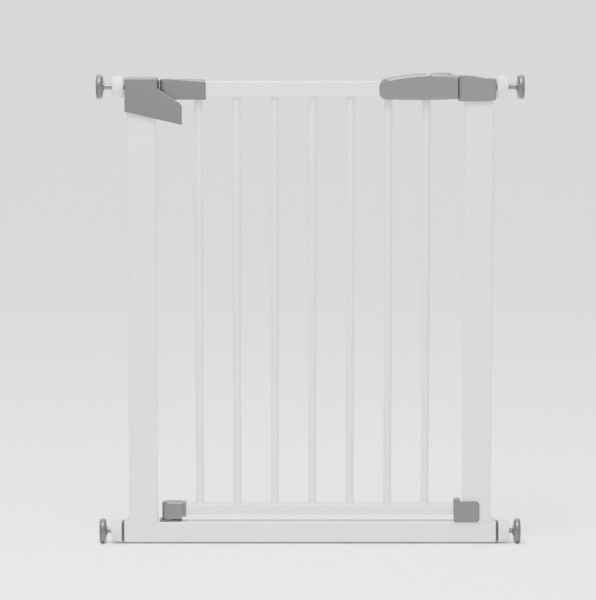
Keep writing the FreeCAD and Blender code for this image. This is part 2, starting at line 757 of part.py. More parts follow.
UPPER_CAP_LOW = "( gate_height - arm_top_drop + hinge_sleeve_flange + slip_gap )"
LOWER_CAP_LOW = "( floor_gap + bar_height + hinge_base_height + hinge_sleeve_flange + slip_gap )"
KNUCKLE_LEFT = f"( {HINGE_X} - knuckle_radius )"
UPPER_CAP_RIGHT = f"( {KNUCKLE_LEFT} + upper_hinge_cap_length )"
LOWER_CAP_RIGHT = f"( {KNUCKLE_LEFT} + lower_hinge_cap_length )"


def make_rail(label, left, right, low, high):
    """A horizontal rectangular tube of the door."""
    body = new_body(label)
    tube = sketch_on(body, "YZ_Plane", "section", left)
    half, inner = "door_depth / 2", "( door_depth / 2 - tube_wall )"
    add_outline(tube, *rounded_rectangle(f"0 - {half}", half, low, high, "rail_corner"))
    pad(body, tube, f"{right} - {left}")
    bore = sketch_on(body, "YZ_Plane", "bore", left)
    add_outline(bore, rectangle(f"0 - {inner}", inner, f"{low} + tube_wall", f"( {high} - tube_wall )"))
    pocket(body, bore, along_normal=True)
    return finished(body, label)


def door_bar_places():
    """Where each door bar stands along the gate, evenly spaced."""
    first = f"( {HINGE_X} + first_bar_offset )"
    last = f"( {POST_INNER} - last_bar_offset )"
    return [f"( {first} + ( {last} - {first} ) * {index} / ( bar_count - 1 ) )"
            for index in range(int(number("bar_count")))]


def cut_bar_sockets(body, left, right, low):
    """Cut a hole in the underside of a piece for each door bar that runs up into it."""
    reach = number("bar_diameter / 2 + moving_gap")
    under = [across for across in door_bar_places()
             if number(left) - reach < number(across) < number(right) + reach]
    sockets = sketch_on(body, "XY_Plane", "bar_sockets", low)
    for across in under:
        add_circle(sockets, "bar_diameter + slip_gap", across)
    pocket(body, sockets, f"{TOP_RAIL_LOW} - {low} + slip_gap / 2", along_normal=True)


def make_door_bars():
    """The upright tubes, welded between the rails."""
    for index, across in enumerate(door_bar_places()):
        label = f"door_bar_{index + 1}"
        height = f"{TOP_RAIL_LOW} - {LOW_RAIL_HIGH}"
        tube = cylinder(label + "_tube", "bar_diameter", height, across, "0", LOW_RAIL_HIGH)
        bore = cylinder(label + "_bore", "bar_diameter - 2 * bar_wall", height, across, "0", LOW_RAIL_HIGH)
        finished(cut(label, tube, bore), label)


def make_hinge_cap(label, low, height, right, rail, bore_height):
    """A cap on a rail's end, round at the hinge, with a bore for the sleeve and a socket for the rail."""
    body = new_body(label)
    outline = sketch_on(body, "XY_Plane", "outline", low)
    front, back = "( 0 - knuckle_radius )", "knuckle_radius"
    corners = [(HINGE_X, front), (right, front), (right, back), (HINGE_X, back), (KNUCKLE_LEFT, "0")]
    add_outline(outline, corners, {3: "knuckle_radius", 4: "knuckle_radius"})
    pad(body, outline, height)
    fillet(body, "hinge_cap_edge", lambda edge: near(edge.CenterOfMass.z, f"{low} + {height}"))
    socket = sketch_on(body, "YZ_Plane", "rail_socket", right)
    half = "( door_depth / 2 + slip_gap / 2 )"
    rail_low, rail_high = rail
    foot, head = f"( {rail_low} - slip_gap / 2 )", f"( {rail_high} + slip_gap / 2 )"
    add_outline(socket, rectangle(f"0 - {half}", half, foot, head))
    pocket(body, socket, "rail_seat")
    bore = sketch_on(body, "XY_Plane", "sleeve_bore", low)
    add_circle(bore, f"2 * {SLEEVE_RADIUS} + 2 * shaft_gap", HINGE_X)
    pocket(body, bore, bore_height, along_normal=True)
    if rail_low == TOP_RAIL_LOW:
        cut_bar_sockets(body, KNUCKLE_LEFT, right, low)
    return finished(body, label)


def make_latch_end_cap():
    """The cap on the free end of the bottom rail, with its plug and the peg that sits in the catch."""
    half = "door_depth / 2"
    low = "( bottom_rail_rise - slip_gap )"
    head = box("latch_end_cap_head", (RAIL_END, f"0 - {half}", low),
               (DOOR_END, half, f"( {LOW_RAIL_HIGH} + end_cap_nub )"))
    inner = "( door_depth / 2 - tube_wall - slip_gap )"
    plug_low = "bottom_rail_rise + tube_wall + slip_gap"
    plug = box("latch_end_cap_plug", (f"( {RAIL_END} - rail_seat )", f"0 - {inner}", plug_low),
               (DOOR_END, inner, f"( {LOW_RAIL_HIGH} - tube_wall - slip_gap )"))
    peg = cylinder("latch_end_cap_peg", "peg_diameter", "peg_length + slip_gap",
                   PEG_X, "0", "bottom_rail_rise - slip_gap - peg_length")
    return finished(fuse("latch_end_cap", head, plug, peg), "latch_end_cap")


# ---- Handle ----

HANDLE_SCREWS = [
    (
        f"( {HANDLE_LEFT} + handle_rail_seat + boss_diameter / 2 + handle_rib )",
        "( gate_height - handle_screw_drop )",
    ),
    (
        f"( {HANDLE_RIGHT} - handle_nose - boss_diameter )",
        f"( {HANDLE_LOW} + handle_wall + boss_diameter / 2 - handle_boss_sink )",
    ),
]


def handle_outline(inset):
    """The handle's front outline, moved inwards by an inset; the right end keeps its thick nose inside."""
    nose = "handle_nose" if inset != "0" else "0"
    left, right = f"( {HANDLE_LEFT} + {inset} )", f"( {HANDLE_RIGHT} - {nose} )"
    low = f"( {HANDLE_LOW} + {inset} )"
    left_high = f"( {HANDLE_LOW} + handle_left_height - {inset} )"
    right_high = f"( {HANDLE_LOW} + handle_height - {inset} )"
    corners = [(left, low), (right, low), (right, right_high), (left, left_high)]
    return corners, {2: f"handle_crown_radius - {inset}"}


def make_handle_shell(side, label):
    """One half of the handle: hollow, with a rib behind the spring and a boss at each screw."""
    front = side < 0
    body = new_body(label)
    shell = sketch_on(body, "XZ_Plane", "shell")
    add_outline(shell, *handle_outline("0"))
    pad(body, shell, "handle_half_depth", backward=not front)
    fillet(body, "handle_corner_radius", lambda edge: edge.BoundBox.YLength > 1)
    fillet(body, "handle_edge_radius", lambda edge: near(edge.BoundBox.YMin, f"{side} * handle_half_depth")
           and near(edge.BoundBox.YMax, f"{side} * handle_half_depth"))
    hollow = sketch_on(body, "XZ_Plane", "hollow")
    add_outline(hollow, *handle_outline("handle_wall"))
    pocket(body, hollow, "handle_half_depth - handle_wall", along_normal=front)
    high = f"( {HANDLE_LOW} + handle_left_height )"
    rib = sketch_on(body, "XZ_Plane", "spring_rib")
    low = f"( {HANDLE_LOW} + handle_wall / 2 )"
    add_outline(rib, rectangle(f"( {RIB_RIGHT} - handle_rib )", RIB_RIGHT, low, high))
    pad(body, rib, "handle_half_depth - handle_wall / 2", backward=not front)
    for index, (across, up) in enumerate(HANDLE_SCREWS):
        boss = sketch_on(body, "XZ_Plane", f"boss_{index}")
        add_circle(boss, "boss_diameter", across, up)
        pad(body, boss, "handle_half_depth - handle_wall / 2", backward=not front)
        hole = sketch_on(body, "XZ_Plane", f"screw_hole_{index}")
        add_circle(hole, "screw_diameter + slip_gap", across, up)
        if front:
            pocket(body, hole, "screw_length - handle_half_depth + screw_seat + 1", along_normal=True)
        else:
            pocket(body, hole)
            head = sketch_on(body, "XZ_Plane", f"screw_head_{index}", "0 - handle_half_depth")
            add_circle(head, "screw_head_diameter + 2 * slip_gap", across, up)
            pocket(body, head, "screw_seat", along_normal=True)
    rail = sketch_on(body, "YZ_Plane", "rail_opening", HANDLE_LEFT)
    half = "( door_depth / 2 + slip_gap / 2 )"
    foot, head = f"( {TOP_RAIL_LOW} - slip_gap / 2 )", f"( {TOP_RAIL_HIGH} + slip_gap / 2 )"
    add_outline(rail, rectangle(f"0 - {half}", half, foot, head))
    pocket(body, rail, "handle_rail_seat", along_normal=True)
    bolt = sketch_on(body, "YZ_Plane", "bolt_opening", HANDLE_RIGHT)
    half, reach = "( bolt_width / 2 + shaft_gap )", "( bolt_height / 2 + shaft_gap )"
    foot, head = f"( {BOLT_AXIS} - {reach} )", f"( {BOLT_AXIS} + {reach} )"
    add_outline(bolt, rectangle(f"0 - {half}", half, foot, head))
    pocket(body, bolt, "handle_nose + 1")
    slot = sketch_on(body, "XY_Plane", "button_slot", "gate_height")
    half = "( button_width / 2 + moving_gap )"
    left = f"( {BUTTON_LEFT} - button_travel - moving_gap )"
    add_outline(slot, rectangle(left, f"( {BUTTON_RIGHT} + moving_gap )", f"0 - {half}", half))
    pocket(body, slot, "button_slot_depth")
    cut_bar_sockets(body, HANDLE_LEFT, HANDLE_RIGHT, HANDLE_LOW)
    return finished(body, label)


def make_handle_screws():
    """The screws that draw the rear shell onto the front shell."""
    screws = [
        screw(f"handle_screw_{index}", across, "handle_half_depth - screw_seat", up, TO_BACK)
        for index, (across, up) in enumerate(HANDLE_SCREWS)
    ]
    screw_group("handle_screws", screws)


def make_latch_spring():
    """The coil spring between the handle's rib and the bolt's tail."""
    coil_radius = number("spring_diameter / 2 - spring_wire / 2")
    wire_radius = number("spring_wire / 2")
    reach = number("spring_length - spring_wire")
    helix = Part.makeHelix(reach / number("spring_coils"), reach, coil_radius)
    start = FreeCAD.Vector(coil_radius, 0, 0)
    section = Part.Wire(Part.makeCircle(wire_radius, start, FreeCAD.Vector(0, 1, 0)))
    spring = doc.addObject("Part::Feature", "latch_spring")
    spring.Shape = Part.Wire(helix.Edges).makePipeShell([section], True, True)
    place(spring, f"{RIB_RIGHT} + spring_wire / 2 + slip_gap / 2", "0", BOLT_AXIS, OUTWARD[1])
    return finished(spring, "latch_spring")


def make_release_button():
    """The sliding button: a ridged top, a flange under the handle's top and a stem into the bolt."""
    half = "button_width / 2"
    cap_top = "( gate_height - button_ridge_height )"
    flange_top = f"( {HANDLE_LOW} + handle_height - handle_wall - button_flange_gap )"
    thumb_low = (BUTTON_LEFT, f"0 - {half}", f"{flange_top} - cut_margin")
    thumb = box("button_thumb", thumb_low, (BUTTON_RIGHT, half, cap_top))
    wide = "( button_width / 2 + button_flange )"
    flange_low = f"( {flange_top} - button_flange_height )"
    flange = box("button_flange", (f"( {BUTTON_LEFT} - button_flange )", f"0 - {wide}", flange_low),
                 (BUTTON_RIGHT, wide, flange_top))
    stem_half = "button_stem / 2"
    stem = box("button_stem", (f"( {BUTTON_MIDDLE} - {stem_half} )", "0 - bolt_width / 3", STEM_LOW),
               (f"( {BUTTON_MIDDLE} + {stem_half} )", "bolt_width / 3", flange_top))
    ridges = []
    pitch = "( button_length / button_ridges )"
    for index in range(int(number("button_ridges"))):
        left = f"( {BUTTON_LEFT} + {pitch} * ( {index} + 0.25 ) )"
        ridges.append(box(f"button_ridge_{index}", (left, "1 - button_width / 2", f"{cap_top} - 0.5"),
                          (f"( {left} + {pitch} / 2 )", "button_width / 2 - 1", "gate_height")))
    return finished(fuse("release_button", thumb, flange, stem, *ridges), "release_button")


STEM_LOW = f"( {BOLT_AXIS} + bolt_height / 2 - bolt_pocket_depth + moving_gap )"


def make_latch_bolt():
    """The sliding bolt, with a pocket for the button's stem and a chamfered tip."""
    half = "bolt_width / 2"
    low, high = f"( {BOLT_AXIS} - bolt_height / 2 )", f"( {BOLT_AXIS} + bolt_height / 2 )"
    bar = box("latch_bolt_bar", (BOLT_TAIL, f"0 - {half}", low), (BOLT_TIP, half, high))
    reach = "( button_stem / 2 + moving_gap )"
    deep = "( bolt_width / 3 + moving_gap )"
    pocket_low = f"( {high} - bolt_pocket_depth )"
    stem = box("latch_bolt_pocket", (f"( {BUTTON_MIDDLE} - {reach} )", f"0 - {deep}", pocket_low),
               (f"( {BUTTON_MIDDLE} + {reach} )", deep, f"( {high} + cut_margin )"))
    bolt = cut("latch_bolt_blank", bar, stem)
    tip = doc.addObject("Part::Chamfer", "latch_bolt")
    tip.Base = bolt
    ends = [i for i, edge in enumerate(bolt.Shape.Edges, 1)
            if near(edge.BoundBox.XMin, BOLT_TIP) and edge.BoundBox.ZLength < 1e-3]
    tip.Edges = [(index, number("bolt_chamfer"), number("bolt_chamfer")) for index in ends]
    return finished(tip, "latch_bolt")


# ---- Screw adjusters ----

def make_nut(label, side, start, up):
    """A thumb nut: a turned blank with a bore, tapered on its wall side, and flutes round its rim."""
    body = new_body(label)
    blank = sketch_on(body, "XZ_Plane", "blank")
    bore, rim = "( spindle_diameter / 2 + shaft_gap )", "( nut_diameter / 2 )"
    corners = [
        (bore, "0"),
        (rim, "0"),
        (rim, "nut_length - nut_taper_length"),
        (f"( {rim} - nut_taper_drop )", "nut_length"),
        (bore, "nut_length"),
    ]
    add_outline(blank, corners)
    turned = body.newObject("PartDesign::Revolution", label + "_turned")
    turned.Profile = blank
    turned.ReferenceAxis = (blank, ["V_Axis"])
    turned.Angle = 360
    body.Tip = turned
    doc.recompute()
    flute = sketch_on(body, "XY_Plane", "flute")
    add_circle(flute, "nut_groove_diameter", f"{rim} + nut_groove_diameter / 4")
    groove = pocket(body, flute, along_normal=True)
    pattern = body.newObject("PartDesign::PolarPattern", label + "_flutes")
    pattern.Originals = [groove]
    pattern.Axis = (flute, ["N_Axis"])
    pattern.Angle = 360
    bind(pattern, Occurrences="nut_lobes")
    body.Tip = pattern
    place(body, f"{side} * ( {start} )", "0", up, OUTWARD[side])
    return finished(body, label)


def make_adjuster(where, side, nut_start, up):
    """One adjuster: nut, threaded rod, pad cup and rubber face, along the X axis towards a wall."""
    outward = OUTWARD[side]
    make_nut(f"{where}_nut", side, nut_start, up)
    face_inner = "( wall_span / 2 - pad_face_depth )"
    cup_inner = "( wall_span / 2 - pad_face_depth - pad_cup_depth )"
    rod_end = f"( {cup_inner} + pad_socket_depth )"
    rod = cylinder(f"{where}_rod", "spindle_diameter", "spindle_length",
                   f"{side} * ( {rod_end} - spindle_length )", "0", up, outward)
    spindle = doc.addObject("Part::Chamfer", f"{where}_spindle")
    spindle.Base = rod
    doc.recompute()
    ends = [i for i, edge in enumerate(rod.Shape.Edges, 1)
            if edge.BoundBox.XLength < 1e-3 and near(abs(edge.BoundBox.XMin), f"{rod_end} - spindle_length")]
    spindle.Edges = [(index, number("spindle_chamfer"), number("spindle_chamfer")) for index in ends]
    finished(spindle, f"{where}_spindle")

    flat = "( pad_cup_depth / 3 )"
    hub = cylinder(f"{where}_hub", "pad_hub_diameter", "pad_cup_depth",
                   f"{side} * {cup_inner}", "0", up, outward)
    dish = doc.addObject("Part::Cone", f"{where}_dish")
    bind(dish, Radius1="pad_hub_diameter / 2", Radius2="pad_diameter / 2", Height=flat)
    place(dish, f"{side} * ( {cup_inner} + {flat} )", "0", up, outward)
    rim = cylinder(f"{where}_rim", "pad_diameter", flat,
                   f"{side} * ( {face_inner} - {flat} )", "0", up, outward)
    socket = cylinder(f"{where}_socket", "spindle_diameter + 2 * shaft_gap", "pad_socket_depth",
                      f"{side} * {cup_inner}", "0", up, outward)
    finished(cut(f"{where}_pad_cup", fuse(f"{where}_pad_blank", hub, dish, rim), socket), f"{where}_pad_cup")
    face = cylinder(f"{where}_face", "pad_diameter - 2 * pad_face_inset", "pad_face_depth",
                    f"{side} * {face_inner}", "0", up, outward)
    finished(face, f"{where}_pad_face")


# ---- The whole gate ----

def make_frame():
    """Everything that is fixed to the welded frame."""
    make_bottom_bar()
    for side, name in ((-1, "left"), (1, "right")):
        make_post(side, f"{name}_post")
        make_end_plug(side, f"{name}_end_plug")
        make_spindle_bush(side, f"{name}_spindle_bush")
    make_hinge_post_cap()
    make_latch_post_cap()
    make_strike_plate()
    make_hinge_pins()
    make_lower_hinge_base()
    make_lower_catch()
    make_frame_screws()


def make_door():
    """Everything that swings with the door, and the latch in its handle."""
    make_rail("top_rail", f"( {UPPER_CAP_RIGHT} - rail_seat )", f"( {HANDLE_LEFT} + handle_rail_seat )",
              TOP_RAIL_LOW, TOP_RAIL_HIGH)
    make_rail("bottom_rail", f"( {LOWER_CAP_RIGHT} - rail_seat )", RAIL_END,
              "bottom_rail_rise", LOW_RAIL_HIGH)
    make_door_bars()
    make_hinge_cap("upper_hinge_cap", UPPER_CAP_LOW, "upper_hinge_cap_height", UPPER_CAP_RIGHT,
                   (TOP_RAIL_LOW, TOP_RAIL_HIGH), "upper_pin_rise + slip_gap")
    make_hinge_cap("lower_hinge_cap", LOWER_CAP_LOW, "lower_hinge_cap_height", LOWER_CAP_RIGHT,
                   ("bottom_rail_rise", LOW_RAIL_HIGH), "lower_pin_rise + slip_gap")
    make_latch_end_cap()
    make_handle_shell(-1, "front_handle_shell")
    make_handle_shell(1, "rear_handle_shell")
    make_handle_screws()
    make_latch_spring()
    make_release_button()
    make_latch_bolt()


def make_adjusters():
    """The four screw adjusters, two at the posts' tops and two at the bar's ends."""
    for side, name in ((-1, "left"), (1, "right")):
        make_adjuster(f"upper_{name}", side, f"{POST_OUTER} + cap_overlap + nut_cap_gap", TOP_AXIS)
        make_adjuster(f"lower_{name}", side, f"{BAR_HALF} + plug_collar + nut_gap", BAR_AXIS)


def check_and_write():
    """Stop if any object failed, then write one file for each sub-part."""
    doc.recompute()
    for item in doc.Objects:
        assert not {"Invalid", "Error"} & set(item.State), item.Name + " failed"
    for item in nodes:
        shape = item.Shape
        assert not shape.isNull() and shape.isValid() and shape.Solids, item.Label + " has no sound solid"
    os.makedirs("parts", exist_ok=True)
    for item in nodes:
        item.Shape.exportStep(f"parts/{item.Label}.step")
    print(len(nodes), "sub-parts written")


make_frame()
make_hinge_sleeves()
make_door()
make_adjusters()
check_and_write()
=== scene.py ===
import json
import logging
import math
from dataclasses import dataclass
from enum import Enum
from typing import Callable, Iterable, Optional, Sequence

import bmesh
import bpy
from mathutils import Matrix, Vector


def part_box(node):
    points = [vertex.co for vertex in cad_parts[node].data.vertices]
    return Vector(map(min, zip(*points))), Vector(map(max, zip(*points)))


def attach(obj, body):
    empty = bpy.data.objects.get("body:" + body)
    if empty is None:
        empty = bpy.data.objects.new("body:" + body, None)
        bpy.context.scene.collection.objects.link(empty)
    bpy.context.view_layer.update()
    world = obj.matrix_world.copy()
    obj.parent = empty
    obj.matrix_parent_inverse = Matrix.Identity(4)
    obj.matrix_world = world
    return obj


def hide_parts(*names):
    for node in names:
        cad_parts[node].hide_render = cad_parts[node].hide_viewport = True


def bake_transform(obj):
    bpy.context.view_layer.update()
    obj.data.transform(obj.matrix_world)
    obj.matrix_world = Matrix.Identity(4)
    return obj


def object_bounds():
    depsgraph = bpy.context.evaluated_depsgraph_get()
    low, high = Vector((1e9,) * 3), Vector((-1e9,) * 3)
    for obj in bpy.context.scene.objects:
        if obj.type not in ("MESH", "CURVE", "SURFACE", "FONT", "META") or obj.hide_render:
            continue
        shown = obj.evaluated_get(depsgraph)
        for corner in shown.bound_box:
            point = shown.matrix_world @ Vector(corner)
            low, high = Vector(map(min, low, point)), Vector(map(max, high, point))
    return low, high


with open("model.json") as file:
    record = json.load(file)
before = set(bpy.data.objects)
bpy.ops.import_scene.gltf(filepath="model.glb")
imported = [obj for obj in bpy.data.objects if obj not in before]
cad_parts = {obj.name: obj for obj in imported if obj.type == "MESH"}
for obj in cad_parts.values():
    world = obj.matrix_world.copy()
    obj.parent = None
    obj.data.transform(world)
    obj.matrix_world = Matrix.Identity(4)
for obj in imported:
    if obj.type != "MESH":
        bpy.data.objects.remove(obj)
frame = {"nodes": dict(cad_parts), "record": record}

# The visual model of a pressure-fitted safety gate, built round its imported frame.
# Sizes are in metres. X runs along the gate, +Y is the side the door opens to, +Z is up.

log = logging.getLogger("gate")
CAD_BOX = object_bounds()
MM = 0.001
SAME_POINT = 2e-6  # points closer than this are one
FLAT = math.radians(0.6)  # faces that turn less than this are one
SMOOTH_BELOW = math.radians(32.0)  # edges that turn more than this stay sharp


class Side(Enum):
    """Which end of the gate a piece belongs to."""

    LEFT = -1
    RIGHT = 1


class Axis(Enum):
    """A direction of the frame, with the turn that brings +Z onto it."""

    X = (0.0, math.pi / 2, 0.0)
    Y = (-math.pi / 2, 0.0, 0.0)
    Z = (0.0, 0.0, 0.0)


# ---- Modelling tools ----

Piece = bpy.types.Object
Group = bpy.types.ShaderNodeTree
EdgeTest = Callable[[Vector, Vector], bool]
FaceTest = Callable[[Vector], bool]


def only(piece: Piece) -> None:
    """Select one object and make it active."""
    if bpy.context.object is not None and bpy.context.object.mode != "OBJECT":
        bpy.ops.object.mode_set(mode="OBJECT")
    bpy.ops.object.select_all(action="DESELECT")
    piece.select_set(True)
    bpy.context.view_layer.objects.active = piece


def settle(piece: Piece) -> Piece:
    """Put an object's place, turn and scale into its mesh."""
    only(piece)
    bpy.ops.object.transform_apply(location=True, rotation=True, scale=True)
    return piece


def block(name: str, low: Sequence[float], high: Sequence[float]) -> Piece:
    """Add a box.

    Args:
        name: The object's name.
        low: Its lowest corner.
        high: Its highest corner.

    Returns:
        The new object, with its place in its mesh.
    """
    bpy.ops.object.select_all(action="DESELECT")
    middle = (Vector(low) + Vector(high)) / 2
    bpy.ops.mesh.primitive_cube_add(size=1, location=middle)
    piece = bpy.context.object
    piece.name = name
    piece.scale = Vector(high) - Vector(low)
    return settle(piece)


def rod(name: str, start: Sequence[float], length: float, radius: float, axis: Axis,
        sides: int = 48) -> Piece:
    """Add a cylinder.

    Args:
        name: The object's name.
        start: The middle of its first end.
        length: Its length along the axis; negative runs the other way.
        radius: Its radius.
        axis: The direction it runs in.
        sides: The number of flats round it.

    Returns:
        The new object, with its place in its mesh.
    """
    bpy.ops.object.select_all(action="DESELECT")
    direction = {Axis.X: Vector((1, 0, 0)), Axis.Y: Vector((0, 1, 0)), Axis.Z: Vector((0, 0, 1))}[axis]
    middle = Vector(start) + direction * length / 2
    bpy.ops.mesh.primitive_cylinder_add(
        vertices=sides, radius=radius, depth=abs(length), location=middle, rotation=axis.value)
    piece = bpy.context.object
    piece.name = name
    return settle(piece)


def pick_edges(piece: Piece, test: EdgeTest) -> int:
    """Open a piece in edit mode with only the edges selected that pass a test.

    Args:
        piece: The piece.
        test: Takes the two ends of an edge.

    Returns:
        How many edges were selected.
    """
    only(piece)
    bpy.ops.object.mode_set(mode="EDIT")
    bpy.ops.mesh.select_mode(type="EDGE")
    bpy.ops.mesh.select_all(action="DESELECT")
    mesh = bmesh.from_edit_mesh(piece.data)
    for edge in mesh.edges:
        edge.select = test(edge.verts[0].co, edge.verts[1].co)
    bmesh.update_edit_mesh(piece.data)
    return sum(edge.select for edge in mesh.edges)


def pick_faces(piece: Piece, test: FaceTest) -> None:
    """Open a piece in edit mode with only the faces selected that pass a test.

    Args:
        piece: The piece.
        test: Takes the middle of a face.
    """
    only(piece)
    bpy.ops.object.mode_set(mode="EDIT")
    bpy.ops.mesh.select_mode(type="FACE")
    bpy.ops.mesh.select_all(action="DESELECT")
    mesh = bmesh.from_edit_mesh(piece.data)
    for face in mesh.faces:
        face.select = test(face.calc_center_median())
    bmesh.update_edit_mesh(piece.data)


def leave_edit() -> None:
    """Go back to object mode."""
    bpy.ops.object.mode_set(mode="OBJECT")


def round_edges(piece: Piece, radius: float, test: EdgeTest, steps: int = 4) -> Piece:
    """Round the edges of a piece that pass a test.

    Args:
        piece: The piece.
        radius: The radius of the round.
        test: Takes the two ends of an edge.
        steps: How many facets the round has.

    Returns:
        The same piece.
    """
    if pick_edges(piece, test):
        bpy.ops.mesh.bevel(offset=radius, offset_type="OFFSET", segments=steps, profile=0.5, affect="EDGES")
    leave_edit()
    return piece


def slice_off(piece: Piece, point: Sequence[float], normal: Sequence[float],
              keep_all: bool = False) -> Piece:
    """Cut a piece by a plane and close the cut.

    Args:
        piece: The piece.
        point: A point of the plane.
        normal: The plane's normal, on the side that is taken away.
        keep_all: Only mark the cut with edges and take nothing away.

    Returns:
        The same piece.
    """
    only(piece)
    bpy.ops.object.mode_set(mode="EDIT")
    bpy.ops.mesh.select_mode(type="FACE")
    bpy.ops.mesh.select_all(action="SELECT")
    bpy.ops.mesh.bisect(plane_co=point, plane_no=normal, use_fill=not keep_all, clear_outer=not keep_all,
                        threshold=1e-6)
    leave_edit()
    return piece


def through(first: Sequence[float], second: Sequence[float], piece: Piece, upper: bool) -> Piece:
    """Slice a piece along a line in the front view.

    Args:
        first: A point (x, z) of the line.
        second: Another point (x, z), to the right of the first.
        piece: The piece.
        upper: Take away what lies above the line, or else what lies below it.

    Returns:
        The same piece.
    """
    along = Vector((second[0] - first[0], 0, second[1] - first[1]))
    normal = Vector((-along.z, 0, along.x)).normalized() * (1 if upper else -1)
    return slice_off(piece, (first[0], 0, first[1]), normal)


def combine(piece: Piece, other: Piece, operation: str) -> Piece:
    """Join another piece to this one or cut it away, and remove the other piece.

    Args:
        piece: The piece that stays.
        other: The piece that is used up.
        operation: UNION or DIFFERENCE.

    Returns:
        The piece that stays.
    """
    only(piece)
    change = piece.modifiers.new(operation, "BOOLEAN")
    change.operation = operation
    change.solver = "EXACT"
    change.object = other
    bpy.ops.object.modifier_apply(modifier=change.name)
    bpy.data.objects.remove(other, do_unlink=True)
    return piece


def union(piece: Piece, *others: Piece) -> Piece:
    """Join pieces into the first one."""
    for other in others:
        combine(piece, other, "UNION")
    return piece


def subtract(piece: Piece, *others: Piece) -> Piece:
    """Cut pieces away from the first one."""
    for other in others:
        combine(piece, other, "DIFFERENCE")
    return piece


def soften(piece: Piece, width: float, steps: int = 3, angle: float = 35.0) -> Piece:
    """Give every sharp edge of a piece a small round, as a mould or a press leaves it.

    Args:
        piece: The piece.
        width: The width of the round.
        steps: How many facets the round has.
        angle: The least angle between two faces, in degrees, that counts as sharp.

    Returns:
        The same piece.
    """
    only(piece)
    bpy.ops.object.mode_set(mode="EDIT")
    bpy.ops.mesh.select_all(action="SELECT")
    bpy.ops.mesh.remove_doubles(threshold=SAME_POINT)
    bpy.ops.mesh.dissolve_limited(angle_limit=FLAT)
    leave_edit()
    change = piece.modifiers.new("soften", "BEVEL")
    change.width = width
    change.segments = steps
    change.limit_method = "ANGLE"
    change.angle_limit = math.radians(angle)
    change.use_clamp_overlap = True
    bpy.ops.object.modifier_apply(modifier=change.name)
    return piece


def duplicate(piece: Piece, name: str, turn: Matrix) -> Piece:
    """Copy a piece with its own mesh and move the copy.

    Args:
        piece: The piece.
        name: The copy's name.
        turn: Where the copy goes, as a matrix of the frame.

    Returns:
        The copy.
    """
    copy = piece.copy()
    copy.data = piece.data.copy()
    copy.name = name
    bpy.context.scene.collection.objects.link(copy)
    copy.matrix_world = turn
    settle(copy)
    only(copy)
    bpy.ops.object.mode_set(mode="EDIT")
    bpy.ops.mesh.select_all(action="SELECT")
    bpy.ops.mesh.normals_make_consistent(inside=False)
    leave_edit()
    return copy


MIRROR_Y = Matrix.Scale(-1, 4, (0, 1, 0))


def hand_over(piece: Piece, body: str, finish: bpy.types.Material,
              replaces: Iterable[str] = (), span: Optional[tuple[str, Vector, Vector]] = None) -> Piece:
    """Smooth a finished piece, give it its material and put it on its body.

    Args:
        piece: The piece.
        body: The frame's body that carries it.
        finish: The material.
        replaces: The frame's nodes that the piece stands for.
        span: For a piece that stretches: the second body, the point that stays and the point that follows it.
            Only whether it is given is read: the piece's place is then baked into its mesh and it is put on
            no body.

    Returns:
        The same piece.
    """
    only(piece)
    bpy.ops.object.mode_set(mode="EDIT")
    bpy.ops.mesh.select_all(action="SELECT")
    bpy.ops.mesh.remove_doubles(threshold=SAME_POINT)
    bpy.ops.mesh.normals_make_consistent(inside=False)
    leave_edit()
    bpy.ops.object.shade_smooth_by_angle(angle=SMOOTH_BELOW)
    flatten = piece.modifiers.new("flat_faces", "WEIGHTED_NORMAL")
    flatten.keep_sharp = True
    bpy.ops.object.modifier_apply(modifier=flatten.name)
    piece.data.materials.clear()
    piece.data.materials.append(finish)
    if span is None:
        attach(piece, body)
    else:
        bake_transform(piece)
    names = list(replaces)
    if names:
        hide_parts(*names)
    log.info("%s: %d faces on %s", piece.name, len(piece.data.polygons), body)
    return piece


# ---- Finishes ----

def new_group(name: str, inputs: dict[str, float], outputs: dict[str, str]) -> Group:
    """Start a shader node group.

    Args:
        name: The group's name.
        inputs: Its number inputs with their first values.
        outputs: Its outputs with their socket types.

    Returns:
        The group, with an input node named In and an output node named Out.
    """
    group = bpy.data.node_groups.new(name, "ShaderNodeTree")
    for label, value in inputs.items():
        group.interface.new_socket(label, in_out="INPUT", socket_type="NodeSocketFloat").default_value = value
    for label, kind in outputs.items():
        group.interface.new_socket(label, in_out="OUTPUT", socket_type=kind)
    group.nodes.new("NodeGroupInput").name = "In"
    group.nodes.new("NodeGroupOutput").name = "Out"
    return group


def noise(group: Group, scale: float, detail: float) -> bpy.types.ShaderNodeTexNoise:
    """Add a noise texture on object coordinates to a group."""
    place = group.nodes.new("ShaderNodeTexCoord")
    texture = group.nodes.new("ShaderNodeTexNoise")
    texture.inputs["Scale"].default_value = scale
    texture.inputs["Detail"].default_value = detail
    group.links.new(place.outputs["Object"], texture.inputs["Vector"])
    return texture


def grain_group() -> Group:
    """The fine spark-eroded grain of a moulded surface, as a bump."""
    group = new_group("MouldGrain", {"Scale": 1800.0, "Depth": 0.0001}, {"Normal": "NodeSocketVector"})
    texture = noise(group, 1800.0, 3.0)
    bump = group.nodes.new("ShaderNodeBump")
    bump.inputs["Strength"].default_value = 0.35
    given, result = group.nodes["In"], group.nodes["Out"]
    group.links.new(given.outputs["Scale"], texture.inputs["Scale"])
    group.links.new(given.outputs["Depth"], bump.inputs["Distance"])
    group.links.new(texture.outputs["Fac"], bump.inputs["Height"])
    group.links.new(bump.outputs["Normal"], result.inputs["Normal"])
    return group


